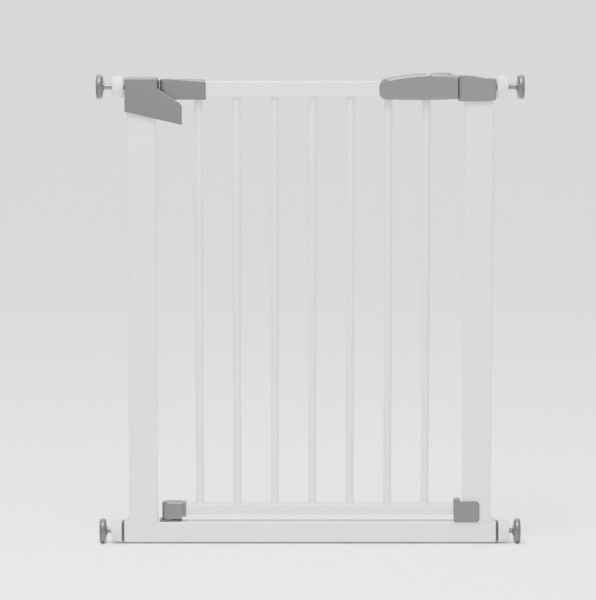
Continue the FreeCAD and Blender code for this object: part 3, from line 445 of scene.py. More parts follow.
def patch_group() -> Group:
    """Broad soft patches, from 0 to 1, for dust, handling and uneven gloss."""
    group = new_group("SoftPatches", {"Scale": 9.0, "Low": 0.35, "High": 0.75}, {"Mask": "NodeSocketFloat"})
    texture = noise(group, 9.0, 6.0)
    ramp = group.nodes.new("ShaderNodeMapRange")
    given, result = group.nodes["In"], group.nodes["Out"]
    group.links.new(given.outputs["Scale"], texture.inputs["Scale"])
    group.links.new(given.outputs["Low"], ramp.inputs["From Min"])
    group.links.new(given.outputs["High"], ramp.inputs["From Max"])
    group.links.new(texture.outputs["Fac"], ramp.inputs["Value"])
    group.links.new(ramp.outputs["Result"], result.inputs["Mask"])
    return group


def edge_group() -> Group:
    """Edges and corners, from 0 to 1, where handling polishes or rubs a surface."""
    group = new_group("RubbedEdges", {"Low": 0.51, "High": 0.60}, {"Mask": "NodeSocketFloat"})
    shape = group.nodes.new("ShaderNodeNewGeometry")
    ramp = group.nodes.new("ShaderNodeMapRange")
    given, result = group.nodes["In"], group.nodes["Out"]
    group.links.new(given.outputs["Low"], ramp.inputs["From Min"])
    group.links.new(given.outputs["High"], ramp.inputs["From Max"])
    group.links.new(shape.outputs["Pointiness"], ramp.inputs["Value"])
    group.links.new(ramp.outputs["Result"], result.inputs["Mask"])
    return group


def brush_group() -> Group:
    """Fine turning and drawing lines of bright steel, as a mask and a bump."""
    group = new_group("DrawnLines", {"Scale": 900.0},
                      {"Mask": "NodeSocketFloat", "Normal": "NodeSocketVector"})
    place = group.nodes.new("ShaderNodeTexCoord")
    stretch = group.nodes.new("ShaderNodeMapping")
    stretch.inputs["Scale"].default_value = (1.0, 0.12, 0.12)
    texture = group.nodes.new("ShaderNodeTexNoise")
    texture.inputs["Detail"].default_value = 2.0
    bump = group.nodes.new("ShaderNodeBump")
    bump.inputs["Strength"].default_value = 0.2
    bump.inputs["Distance"].default_value = 0.00004
    given, result = group.nodes["In"], group.nodes["Out"]
    group.links.new(place.outputs["Object"], stretch.inputs["Vector"])
    group.links.new(stretch.outputs["Vector"], texture.inputs["Vector"])
    group.links.new(given.outputs["Scale"], texture.inputs["Scale"])
    group.links.new(texture.outputs["Fac"], bump.inputs["Height"])
    group.links.new(texture.outputs["Fac"], result.inputs["Mask"])
    group.links.new(bump.outputs["Normal"], result.inputs["Normal"])
    return group


Colour = tuple[float, float, float]


@dataclass(frozen=True)
class Finish:
    """A surface finish: two close colours in soft patches, grain, and gloss that changes at the edges."""

    name: str
    base: Colour
    patch: Colour
    roughness: float
    edge_roughness: float
    metallic: float = 0.0
    coat: float = 0.0
    grain_scale: float = 1800.0
    grain_depth: float = 0.0001
    patch_scale: float = 9.0
    drawn: bool = False

    def build(self, groups: dict[str, Group]) -> bpy.types.Material:
        """Make the material.

        Args:
            groups: The shared node groups by name.

        Returns:
            The new material.
        """
        material = bpy.data.materials.new(self.name)
        material.use_nodes = True
        nodes, links = material.node_tree.nodes, material.node_tree.links
        shader = nodes["Principled BSDF"]
        shader.inputs["Metallic"].default_value = self.metallic
        shader.inputs["Coat Weight"].default_value = self.coat
        shader.inputs["Coat Roughness"].default_value = 0.12

        patches = self.place_group(nodes, groups["patches"], {"Scale": self.patch_scale})
        colour = nodes.new("ShaderNodeMix")
        colour.data_type = "RGBA"
        colour.inputs["A"].default_value = (*self.base, 1.0)
        colour.inputs["B"].default_value = (*self.patch, 1.0)
        links.new(patches.outputs["Mask"], colour.inputs["Factor"])
        links.new(colour.outputs["Result"], shader.inputs["Base Color"])

        edges = self.place_group(nodes, groups["edges"], {})
        gloss = nodes.new("ShaderNodeMapRange")
        gloss.inputs["To Min"].default_value = self.roughness
        gloss.inputs["To Max"].default_value = self.edge_roughness
        links.new(edges.outputs["Mask"], gloss.inputs["Value"])
        uneven = nodes.new("ShaderNodeMath")
        uneven.operation = "MULTIPLY_ADD"
        uneven.inputs[1].default_value = 0.06
        links.new(patches.outputs["Mask"], uneven.inputs[0])
        links.new(gloss.outputs["Result"], uneven.inputs[2])
        links.new(uneven.outputs["Value"], shader.inputs["Roughness"])

        if self.drawn:
            relief = self.place_group(nodes, groups["drawn"], {"Scale": self.grain_scale})
        else:
            relief = self.place_group(nodes, groups["grain"],
                                      {"Scale": self.grain_scale, "Depth": self.grain_depth})
        links.new(relief.outputs["Normal"], shader.inputs["Normal"])
        return material

    @staticmethod
    def place_group(nodes: bpy.types.Nodes, group: Group,
                    values: dict[str, float]) -> bpy.types.ShaderNodeGroup:
        """Put a node group into a material.

        Args:
            nodes: The material's nodes.
            group: The group.
            values: Inputs to set.

        Returns:
            The group's node.
        """
        node = nodes.new("ShaderNodeGroup")
        node.node_tree = group
        for label, value in values.items():
            node.inputs[label].default_value = value
        return node


class Finishes:
    """All the gate's materials, by the record's slot names."""

    WHITE_PAINT = Finish("WhitePowderCoat", (0.62, 0.62, 0.617), (0.60, 0.60, 0.597), 0.34, 0.26,
                         coat=0.15, grain_scale=900.0, grain_depth=0.00012, patch_scale=6.0)
    GREY = Finish("GreyMoulding", (0.060, 0.060, 0.061), (0.066, 0.066, 0.067), 0.36, 0.28)
    LIGHT_GREY = Finish("LightGreyMoulding", (0.072, 0.072, 0.073), (0.079, 0.079, 0.080), 0.30, 0.22,
                        coat=0.25)
    DARK = Finish("DarkGreyMoulding", (0.020, 0.021, 0.022), (0.026, 0.027, 0.028), 0.50, 0.38)
    WHITE_PLASTIC = Finish("WhiteMoulding", (0.60, 0.60, 0.597), (0.57, 0.57, 0.567), 0.30, 0.22,
                           grain_depth=0.00004)
    STEEL = Finish("ZincPlatedSteel", (0.30, 0.30, 0.297), (0.26, 0.26, 0.257), 0.26, 0.18, metallic=1.0,
                   grain_scale=900.0, patch_scale=60.0, drawn=True)
    RUBBER = Finish("PadRubber", (0.046, 0.045, 0.045), (0.054, 0.053, 0.053), 0.62, 0.50,
                    grain_scale=1200.0, grain_depth=0.00016)
    PAD = Finish("PadMoulding", (0.046, 0.045, 0.045), (0.052, 0.051, 0.051), 0.30, 0.22, coat=0.3)

    def __init__(self) -> None:
        """Build the shared node groups and every material."""
        groups = {"grain": grain_group(), "patches": patch_group(), "edges": edge_group(),
                  "drawn": brush_group()}
        self.by_slot = {
            "white_paint": self.WHITE_PAINT.build(groups),
            "grey_plastic": self.GREY.build(groups),
            "light_grey_plastic": self.LIGHT_GREY.build(groups),
            "dark_plastic": self.DARK.build(groups),
            "white_plastic": self.WHITE_PLASTIC.build(groups),
            "zinc_steel": self.STEEL.build(groups),
            "pad_rubber": self.RUBBER.build(groups),
            "pad_plastic": self.PAD.build(groups),
        }

    def __getitem__(self, slot: str) -> bpy.types.Material:
        """The material of a slot."""
        return self.by_slot[slot]

    def dress_frame_nodes(self) -> None:
        """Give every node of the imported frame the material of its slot."""
        for part in frame["record"]["subparts"]:
            node = frame["nodes"][part["node"]]
            node.data.materials.clear()
            node.data.materials.append(self.by_slot[part["material_slot"]])


# ---- Sub-assemblies ----

MARGIN = 1.0 * MM  # how far a cutter runs past the face it opens, and how near a face an edge still counts
FIT = 0.1 * MM  # the room between a moulding and the piece it fits
BAR_COUNT = 7


def at(value: float, target: float, within: float = 1e-5) -> bool:
    """Whether a coordinate lies at a target."""
    return abs(value - target) < within


def along(axis: int) -> EdgeTest:
    """A test for the edges that run along one axis."""
    def test(start: Vector, end: Vector) -> bool:
        """Whether the edge runs along the axis."""
        step = end - start
        return abs(step[axis]) > 0.999 * step.length
    return test


def rim(axis: int, place: float, within: float = 1e-5) -> EdgeTest:
    """A test for the edges that lie wholly at one place on an axis."""
    def test(start: Vector, end: Vector) -> bool:
        """Whether both ends are at the place."""
        return at(start[axis], place, within) and at(end[axis], place, within)
    return test


def mark_and_scale(piece: Piece, axis: int, place: float, centre: Vector, factor: Sequence[float]) -> None:
    """Scale the points of a piece that lie at one place on an axis.

    Args:
        piece: The piece.
        axis: The axis.
        place: The place on it.
        centre: The fixed point of the scaling.
        factor: The scale along X, Y and Z.
    """
    pick_edges(piece, rim(axis, place))
    bpy.ops.transform.resize(value=factor, center_override=centre)
    leave_edit()


def open_end(tube: Piece, axis: int, place: float, wall: float, depth: float) -> None:
    """Sink a mouth into one end of a tube.

    Args:
        tube: The tube.
        axis: The axis it runs along.
        place: The end's place on the axis.
        wall: The tube's wall.
        depth: How far the mouth goes in along the axis; negative runs the other way.
    """
    pick_faces(tube, lambda middle: at(middle[axis], place))
    bpy.ops.mesh.inset(thickness=wall)
    step = Vector()
    step[axis] = depth
    bpy.ops.mesh.extrude_region_move(TRANSFORM_OT_translate={"value": step})
    leave_edit()


def rail_way(rail: str) -> Piece:
    """The socket that takes a rail's end."""
    low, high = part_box(rail)
    gap = Vector((FIT, FIT, FIT))
    return block("rail_way", low - gap, high + gap)


def bar_ways(left: float, right: float, bottom: float, gap: float) -> list[Piece]:
    """The holes for the door's bars that stand between two places along X.

    Args:
        left: The first place.
        right: The second place.
        bottom: The height where the holes start.
        gap: The room round a bar.

    Returns:
        One cutter for each bar.
    """
    ways = []
    for number in range(1, BAR_COUNT + 1):
        low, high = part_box(f"door_bar_{number}")
        middle = (low.x + high.x) / 2
        if left < middle < right:
            radius = (high.x - low.x) / 2 + gap
            ways.append(rod("bar_way", (middle, 0, bottom), high.z - bottom, radius, Axis.Z))
    return ways


def wind(name: str, points: Sequence[Sequence[float]], edges: Sequence[Sequence[int]], pitch: float,
         turns: int, steps: int, shift: Vector, weld: float = 0.0) -> Piece:
    """Wind a profile into a helix about the X axis, close its ends and move it into place.

    Args:
        name: The object's name.
        points: The profile's points.
        edges: The pairs of points it joins.
        pitch: How far one turn goes along X.
        turns: The number of turns.
        steps: The facets in one turn.
        shift: The move after winding.
        weld: Where turns meet, points closer than this are joined and the faces become triangles.

    Returns:
        The new object.
    """
    mesh = bpy.data.meshes.new(name)
    mesh.from_pydata(points, edges, [])
    piece = bpy.data.objects.new(name, mesh)
    bpy.context.scene.collection.objects.link(piece)
    only(piece)
    helix = piece.modifiers.new("helix", "SCREW")
    helix.axis = "X"
    helix.screw_offset = pitch
    helix.iterations = turns
    helix.steps = helix.render_steps = steps
    helix.use_merge_vertices = False
    bpy.ops.object.modifier_apply(modifier=helix.name)
    bpy.ops.object.mode_set(mode="EDIT")
    if weld:
        bpy.ops.mesh.select_all(action="SELECT")
        bpy.ops.mesh.remove_doubles(threshold=weld)
    bpy.ops.mesh.select_all(action="DESELECT")
    bpy.ops.mesh.select_non_manifold()
    bpy.ops.mesh.edge_face_add()
    bpy.ops.mesh.select_all(action="SELECT")
    if weld:
        bpy.ops.mesh.quads_convert_to_tris()
    bpy.ops.mesh.normals_make_consistent(inside=False)
    bpy.ops.transform.translate(value=shift)
    leave_edit()
    return piece


@dataclass
class Assembly:
    """A group of pieces dressed from the gate's finishes."""

    finishes: Finishes

    def place(self, piece: Piece, body: str, slot: str, replaces: Iterable[str] = (),
              span: Optional[tuple[str, Vector, Vector]] = None) -> None:
        """Dress a finished piece with its slot's material and put it on its body, as hand_over says."""
        hand_over(piece, body, self.finishes[slot], replaces, span)


@dataclass
class WeldedFrame(Assembly):
    """The bottom bar, the two posts welded on it and the plugs in the bar's ends."""

    corner: float = 3.0 * MM
    wall: float = 1.5 * MM
    mouth_depth: float = 5.0 * MM
    bead_width: float = 2.0 * MM
    bead_height: float = 2.6 * MM
    bead_proud: float = 0.35 * MM
    gusset_height: float = 5.0 * MM
    plug_draft: float = 0.8 * MM
    gusset_inset: float = 1.2 * MM
    bead_soften: float = 1.1 * MM
    plug_bore: float = 5.05 * MM
    plug_soften: float = 0.7 * MM

    def build(self) -> None:
        """Make every piece of the frame."""
        self.bottom_bar()
        for side, name in ((Side.LEFT, "left"), (Side.RIGHT, "right")):
            self.post(name)
            self.weld(side, name)
            self.end_plug(side, name)

    def bottom_bar(self) -> None:
        """The tube across the floor, with its ends open behind the plugs."""
        low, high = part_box("bottom_bar")
        bar = block("bottom_bar_tube", low, high)
        round_edges(bar, self.corner, along(0), steps=6)
        open_end(bar, 0, low.x, self.wall, self.mouth_depth)
        open_end(bar, 0, high.x, self.wall, -self.mouth_depth)
        self.place(bar, "frame", "white_paint", ["bottom_bar"])

    def post(self, name: str) -> None:
        """One upright tube."""
        low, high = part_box(f"{name}_post")
        post = block(f"{name}_post_tube", low, high)
        round_edges(post, self.corner, along(2), steps=6)
        open_end(post, 2, high.z, self.wall, -self.mouth_depth)
        self.place(post, "frame", "white_paint", [f"{name}_post"])

    def weld(self, side: Side, name: str) -> None:
        """The bead round a post's foot and the dressed corner between the foot and the bar's end."""
        low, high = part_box(f"{name}_post")
        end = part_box("bottom_bar")[1].x * side.value
        grow = Vector((self.bead_width, self.bead_proud, 0))
        bead = block(f"{name}_weld", low - grow - Vector((0, 0, self.bead_height / 3)),
                     Vector((high.x, high.y, low.z)) + grow + Vector((0, 0, self.bead_height)))
        outer = low.x if side is Side.LEFT else high.x
        corner_low = Vector((min(outer, end), low.y + self.gusset_inset, low.z - self.bead_height / 3))
        corner_high = Vector((max(outer, end), high.y - self.gusset_inset, low.z + self.gusset_height))
        gusset = block("gusset", corner_low, corner_high)
        upper, lower = (outer, low.z + self.gusset_height), (end, low.z - self.bead_height / 4)
        first, second = (lower, upper) if side is Side.LEFT else (upper, lower)
        through(first, second, gusset, upper=True)
        union(bead, gusset)
        soften(bead, self.bead_soften, steps=4)
        self.place(bead, "frame", "white_paint")

    def end_plug(self, side: Side, name: str) -> None:
        """The plug in the bar's end: a drafted collar and the stub behind it."""
        low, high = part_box(f"{name}_end_plug")
        bar_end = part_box("bottom_bar")[1].x * side.value
        outer = low.x if side is Side.LEFT else high.x
        collar = block(f"{name}_end_plug_moulding", (min(bar_end, outer), low.y, low.z),
                       (max(bar_end, outer), high.y, high.z))
        round_edges(collar, self.corner, along(0), steps=5)
        middle = (low + high) / 2
        shrink = 1 - 2 * self.plug_draft / (high.z - low.z)
        mark_and_scale(collar, 0, outer, Vector((outer, middle.y, middle.z)), (1, shrink, shrink))
        inner = low.x if side is Side.RIGHT else high.x
        gap = self.wall + FIT
        root = bar_end + side.value * MARGIN
        stub = block("stub", (min(inner, root), low.y + gap, low.z + gap),
                     (max(inner, root), high.y - gap, high.z - gap))
        round_edges(stub, self.corner - self.wall, along(0), steps=3)
        union(collar, stub)
        bore = rod("bore", (outer + side.value * MARGIN, middle.y, middle.z),
                   -side.value * (high.x - low.x + 2 * MARGIN), self.plug_bore, Axis.X)
        subtract(collar, bore)
        soften(collar, self.plug_soften)
        self.place(collar, "frame", "dark_plastic", [f"{name}_end_plug"])


@dataclass
class PostCaps(Assembly):
    """The moulded caps on the posts, and the catch at the foot of the latch post."""

    inner_wall: float = 3.3 * MM
    lower_slope: float = 0.232
    step_share: float = 0.62
    shoulder_drop: float = 17.0 * MM
    tip_drop: float = 40.0 * MM
    tip_corner: float = 5.0 * MM
    tab_thickness: float = 3.4 * MM
    top_round: float = 3.0 * MM
    arm_height: float = 18.0 * MM
    arm_half_width: float = 12.0 * MM
    pin_bore: float = 4.05 * MM
    spindle_hole: float = 7.05 * MM
    facet_length: float = 8.0 * MM
    facet_depth: float = 4.6 * MM
    shade_block_gap: float = 0.6 * MM
    spindle_way_depth: float = 20 * MM
    screw_head: float = 3.75 * MM
    screw_depth: float = 8 * MM
    screw_hole: float = 2.05 * MM
    wide_margin: float = 5 * MM
    hinge_soften: float = 0.8 * MM
    hinge_shade_half: float = 9 * MM
    hinge_shade_drop: float = 4 * MM
    hinge_shade_soften: float = 0.5 * MM
    shelf_drop: float = 4.6 * MM
    shelf_overlap: float = 12 * MM
    crown_start: float = 13 * MM
    crown_bend: float = 24 * MM
    crown_fall: float = 0.9 * MM
    crown_foot: float = 1.2 * MM
    under_length: float = 14 * MM
    under_rise: float = 2.4 * MM
    bolt_gap: float = 0.6 * MM
    door_lift: float = 10 * MM
    latch_soften: float = 1.5 * MM
    latch_shade_half: float = 11.6 * MM
    latch_shade_drop: float = 3 * MM
    latch_shade_lap: float = 0.4 * MM
    window_gap: float = 0.3 * MM
    latch_shade_soften: float = 0.3 * MM
    catch_corner: float = 6.5 * MM
    catch_facet: float = 12 * MM
    catch_facet_depth: float = 3.0 * MM
    catch_cut_height: float = 5.5 * MM
    catch_cut_length: float = 15 * MM
    catch_cut_start: float = 2 * MM
    chamfer_height: float = 3 * MM
    chamfer_length: float = 4 * MM
    socket_start: float = 1.5 * MM
    socket_lap: float = 2 * MM
    socket_height: float = 7 * MM
    peg_inset: float = 5.75 * MM
    peg_bore_depth: float = 12 * MM
    peg_bore: float = 4.1 * MM
    catch_soften: float = 1.0 * MM

    def build(self) -> None:
        """Make both caps and the catch."""
        self.hinge_post_cap()
        self.latch_post_cap()
        self.lower_catch()

    def post_seat(self, post: str) -> Piece:
        """The space that a post fills in its cap."""
        low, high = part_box(post)
        gap = Vector((FIT, FIT, 0))
        return block("seat", low - gap, high + gap)

    def spindle_way(self, cap: str, side: Side) -> Piece:
        """The hole for the adjuster in a cap's outer wall."""
        low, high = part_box(cap)
        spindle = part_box(f"upper_{side.name.lower()}_spindle")
        height = (spindle[0].z + spindle[1].z) / 2
        start = low.x - MARGIN if side is Side.LEFT else high.x + MARGIN
        return rod("way", (start, 0, height), -side.value * self.spindle_way_depth, self.spindle_hole, Axis.X)

    def screw_holes(self, cap: str) -> list[Piece]:
        """The two screw holes in a cap's back."""
        low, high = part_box(cap)
        screws = frame["nodes"]["cap_screws"].data.vertices
        inside = [point.co for point in screws if low.x < point.co.x < high.x]
        left, right = min(p.x for p in inside), max(p.x for p in inside)
        height = (min(p.z for p in inside) + max(p.z for p in inside)) / 2
        return [rod("screw_hole", (across, high.y + MARGIN, height), -self.screw_depth, self.screw_hole,
                    Axis.Y, 24)
                for across in (left + self.screw_head, right - self.screw_head)]

    def hinge_post_cap(self) -> None:
        """The cap on the hinge post: shell, tab in front of the hinge and arm under it."""
        low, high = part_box("hinge_post_cap")
        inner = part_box("left_post")[1].x + self.inner_wall
        outer_low = low.z + self.lower_slope * (high.x - low.x)
        shoulder, tip = high.z - self.shoulder_drop, high.z - self.tip_drop
        shell = block("hinge_post_cap_moulding", low, high)
        through((low.x, outer_low), (high.x, low.z), shell, upper=False)
        margin = self.wide_margin
        beyond = high + Vector((margin, margin, margin))
        above = block("above", (inner, low.y - margin, low.z), beyond)
        through((inner, shoulder), (high.x - self.tip_corner, tip + MARGIN), above, upper=False)
        behind = block("behind", (inner, low.y + self.tab_thickness, low.z - margin), beyond)
        subtract(shell, above, behind)
        round_edges(shell, self.tip_corner, lambda a, b: along(1)(a, b) and a.x > high.x - MM and
                    a.z > tip - 2 * self.tip_corner, steps=6)
        round_edges(shell, self.top_round, lambda a, b: rim(2, high.z)(a, b) or
                    (rim(0, low.x)(a, b) and along(2)(a, b)) or
                    (rim(1, low.y)(a, b) and (a.z + b.z) / 2 >
                     low.z + MM + self.lower_slope * (high.x - (a.x + b.x) / 2)), steps=6)
        pin_low, pin_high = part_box("upper_hinge_pin")
        axis_x = (pin_low.x + pin_high.x) / 2
        arm_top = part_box("upper_hinge_sleeve")[0].z
        arm = block("arm", (inner - self.inner_wall + MM, low.y + MM, arm_top - self.arm_height),
                    (axis_x + self.arm_half_width, self.arm_half_width, arm_top))
        union(shell, arm)
        bore = rod("bore", (axis_x, 0, pin_low.z), pin_high.z - pin_low.z, self.pin_bore, Axis.Z)
        subtract(shell, self.post_seat("left_post"), bore, self.spindle_way("hinge_post_cap", Side.LEFT),
                 *self.screw_holes("hinge_post_cap"))
        soften(shell, self.hinge_soften)
        self.place(shell, "frame", "grey_plastic", ["hinge_post_cap"])
        # Painted shade: a dark plastic sheet in the gap between the post cap and the door's hinge cap,
        # standing in for the shadow in that gap. It is no real part.
        door_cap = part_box("upper_hinge_cap")[0]
        shade_block = block("hinge_gap_painted_shade", (inner - MARGIN, -self.hinge_shade_half, arm_top - MARGIN),
                      (door_cap.x - self.shade_block_gap, self.hinge_shade_half, high.z - self.hinge_shade_drop))
        soften(shade_block, self.hinge_shade_soften)
        self.place(shade_block, "frame", "dark_plastic")

    def latch_post_cap(self) -> None:
        """The cap on the latch post: a crowned shell that steps down outside, with the bolt's mouth."""
        low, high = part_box("latch_post_cap")
        shelf = high.z - self.shelf_drop
        lap = high.x - self.shelf_overlap
        step = low.x + self.step_share * (high.x - low.x)
        shell = block("latch_post_cap_moulding", low, (lap, high.y, high.z))
        crown = [(low.x + self.crown_start, high.z), (low.x + self.crown_bend, high.z - self.crown_fall),
                 (step, shelf + self.crown_foot), (lap, shelf - self.crown_foot)]
        for first, second in zip(crown, crown[1:]):
            through(first, second, shell, upper=True)
        outer = block("outer", (step, low.y, low.z), (high.x, high.y, shelf))
        through((high.x - self.under_length, low.z), (high.x, low.z + self.under_rise), outer, upper=False)
        round_edges(outer, self.top_round, lambda a, b: rim(0, high.x)(a, b) and
                    (along(2)(a, b) or rim(2, shelf)(a, b)), steps=6)
        for y, way in ((low.y, -1.0), (high.y, 1.0)):
            slice_off(shell, (low.x + self.facet_length, y, 0),
                      Vector((-self.facet_depth, way * self.facet_length, 0)).normalized())
        union(shell, outer)
        strike_low, strike_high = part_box("strike_plate")
        edge = Vector((MARGIN, FIT, FIT))
        recess = block("recess", strike_low - edge, strike_high + Vector((0, FIT, FIT)))
        bolt_low, bolt_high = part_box("latch_bolt")
        gap = self.bolt_gap
        mouth = block("mouth", (low.x - MARGIN, bolt_low.y - gap, bolt_low.z - gap),
                      (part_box("right_post")[0].x, bolt_high.y + gap, bolt_high.z + self.door_lift + gap))
        subtract(shell, self.post_seat("right_post"), recess, mouth,
                 self.spindle_way("latch_post_cap", Side.RIGHT), *self.screw_holes("latch_post_cap"))
        soften(shell, self.latch_soften, steps=5, angle=20)
        self.place(shell, "frame", "light_grey_plastic", ["latch_post_cap"])
        # Painted shade: a dark plastic sheet on the cap's left face, behind the seam to the handle, standing
        # in for the shadow in that seam. It is no real part. A window is left in it for the strike plate.
        handle_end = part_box("front_handle_shell")[1].x
        shade_block = block("latch_gap_painted_shade",
                      (handle_end + self.shade_block_gap, -self.latch_shade_half, low.z + self.latch_shade_drop),
                      (low.x + self.latch_shade_lap, self.latch_shade_half, high.z - self.latch_shade_drop))
        reach = Vector((self.wide_margin, 0, 0))
        room = Vector((0, self.window_gap, self.window_gap))
        window = block("window", Vector((low.x, *strike_low.yz)) - reach - room,
                       Vector((low.x, *strike_high.yz)) + reach + room)
        subtract(shade_block, window)
        soften(shade_block, self.latch_shade_soften)
        self.place(shade_block, "frame", "dark_plastic")

    def lower_catch(self) -> None:
        """The plate in front of the latch post's foot with the peg's socket block behind it."""
        low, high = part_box("lower_catch")
        bar_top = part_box("bottom_bar")[1].z
        plate_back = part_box("bottom_bar")[0].y - FIT
        plate = block("lower_catch_moulding", low, (high.x, plate_back, high.z))
        round_edges(plate, self.catch_corner, lambda a, b: along(1)(a, b) and at(a.x, high.x), steps=8)
        slice_off(plate, (low.x + self.catch_facet, low.y, 0),
                  Vector((-self.catch_facet_depth, -self.catch_facet, 0)).normalized())
        cut_start = low.x - self.catch_cut_start
        through((cut_start, low.z + self.catch_cut_height), (cut_start + self.catch_cut_length, low.z),
                plate, upper=False)
        through((low.x, high.z - self.chamfer_height), (low.x + self.chamfer_length, high.z), plate,
                upper=True)
        post_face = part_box("right_post")[0].x
        socket_block = block("socket_block",
                             (low.x + self.socket_start, plate_back - self.socket_lap, bar_top),
                             (post_face - FIT, high.y, bar_top + self.socket_height))
        union(plate, socket_block)
        door_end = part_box("latch_end_cap")[1].x
        peg = rod("peg", (door_end - self.peg_inset, 0, bar_top - MARGIN), self.peg_bore_depth,
                  self.peg_bore, Axis.Z)
        subtract(plate, peg)
        soften(plate, self.catch_soften, steps=4, angle=25)
        self.place(plate, "frame", "grey_plastic", ["lower_catch"])


@dataclass
class DoorHinges(Assembly):
    """The seat of the lower pin and the door's moulded hinge caps."""

    flange_radius: float = 9.05 * MM
    sleeve_radius: float = 6.05 * MM
    pin_radius: float = 4.05 * MM
    cap_round: float = 12.3 * MM
    top_fall: float = 1.4 * MM
    base_round: float = 1.2 * MM
    base_bore_depth: float = 8 * MM
    base_soften: float = 0.4 * MM
    flange: float = 1.25 * MM
    sleeve_end: float = 1.1 * MM
    fall_start: float = 12 * MM
    upper_round: float = 3.0 * MM
    bar_reach: float = 7 * MM
    upper_soften: float = 0.7 * MM
    body_end: float = 6.5 * MM
    lower_round: float = 3.5 * MM
    collar_length: float = 5 * MM
    collar_inset: float = 1.2 * MM
    collar_rise: float = 3.5 * MM
    collar_drop: float = 0.9 * MM
    neck_start: float = 8 * MM
    neck_end: float = 3 * MM
    neck_inset: float = 1.7 * MM
    neck_rise: float = 4 * MM
    neck_drop: float = 1.5 * MM
    lower_soften: float = 1.3 * MM

    def build(self) -> None:
        """Make the base and both caps."""
        self.lower_base()
        self.upper_cap()
        self.lower_cap()

    @staticmethod
    def pin_axis() -> float:
        """The place of the hinge axis along X."""
        low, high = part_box("upper_hinge_pin")
        return (low.x + high.x) / 2

    def lower_base(self) -> None:
        """The foot that holds the lower pin on the bar."""
        low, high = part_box("lower_hinge_base")
        base = block("lower_hinge_base_moulding", low, high)
        round_edges(base, self.base_round, lambda a, b: rim(2, high.z)(a, b) and not at(a.x, low.x), steps=4)
        bore = rod("bore", (self.pin_axis(), 0, low.z - MARGIN), self.base_bore_depth, self.pin_radius,
                   Axis.Z)
        subtract(base, bore)
        soften(base, self.base_soften)
        self.place(base, "frame", "dark_plastic", ["lower_hinge_base"])

    def sleeve_way(self, name: str) -> list[Piece]:
        """The stepped hole that takes a hinge sleeve."""
        low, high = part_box(name)
        start = (self.pin_axis(), 0, low.z - MARGIN)
        return [rod("flange_way", start, self.flange + MARGIN, self.flange_radius, Axis.Z),
                rod("sleeve_way", start, high.z - low.z + self.sleeve_end, self.sleeve_radius, Axis.Z)]

    def upper_cap(self) -> None:
        """The cap that joins the top rail to the upper hinge."""
        low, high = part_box("upper_hinge_cap")
        cap = block("upper_hinge_cap_moulding", low, high)
        through((low.x + self.fall_start, high.z), (high.x, high.z - self.top_fall), cap, upper=True)
        round_edges(cap, self.cap_round, lambda a, b: rim(0, low.x)(a, b) and along(2)(a, b), steps=12)
        round_edges(cap, self.upper_round, lambda a, b: min(a.z, b.z) > high.z - self.upper_round, steps=6)
        bars = bar_ways(low.x - self.bar_reach, high.x + self.bar_reach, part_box("door_bar_1")[0].z, FIT)
        subtract(cap, *self.sleeve_way("upper_hinge_sleeve"), rail_way("top_rail"), *bars)
        soften(cap, self.upper_soften, steps=3, angle=28)
        self.place(cap, "door", "grey_plastic", ["upper_hinge_cap"])

    def lower_cap(self) -> None:
        """The cap that joins the bottom rail to the lower hinge."""
        low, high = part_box("lower_hinge_cap")
        cap = block("lower_hinge_cap_moulding", low, (high.x - self.body_end, high.y, high.z))
        round_edges(cap, self.cap_round, lambda a, b: rim(0, low.x)(a, b) and along(2)(a, b), steps=12)
        round_edges(cap, self.lower_round, rim(2, high.z), steps=6)
        collar = block("collar",
                       (high.x - self.collar_length, low.y + self.collar_inset, low.z + self.collar_rise),
                       (high.x, high.y - self.collar_inset, high.z - self.collar_drop))
        neck = block("neck", (high.x - self.neck_start, low.y + self.neck_inset, low.z + self.neck_rise),
                     (high.x - self.neck_end, high.y - self.neck_inset, high.z - self.neck_drop))
        union(cap, neck, collar)
        subtract(cap, *self.sleeve_way("lower_hinge_sleeve"), rail_way("bottom_rail"))
        soften(cap, self.lower_soften, steps=5, angle=28)
        self.place(cap, "door", "grey_plastic", ["lower_hinge_cap"])


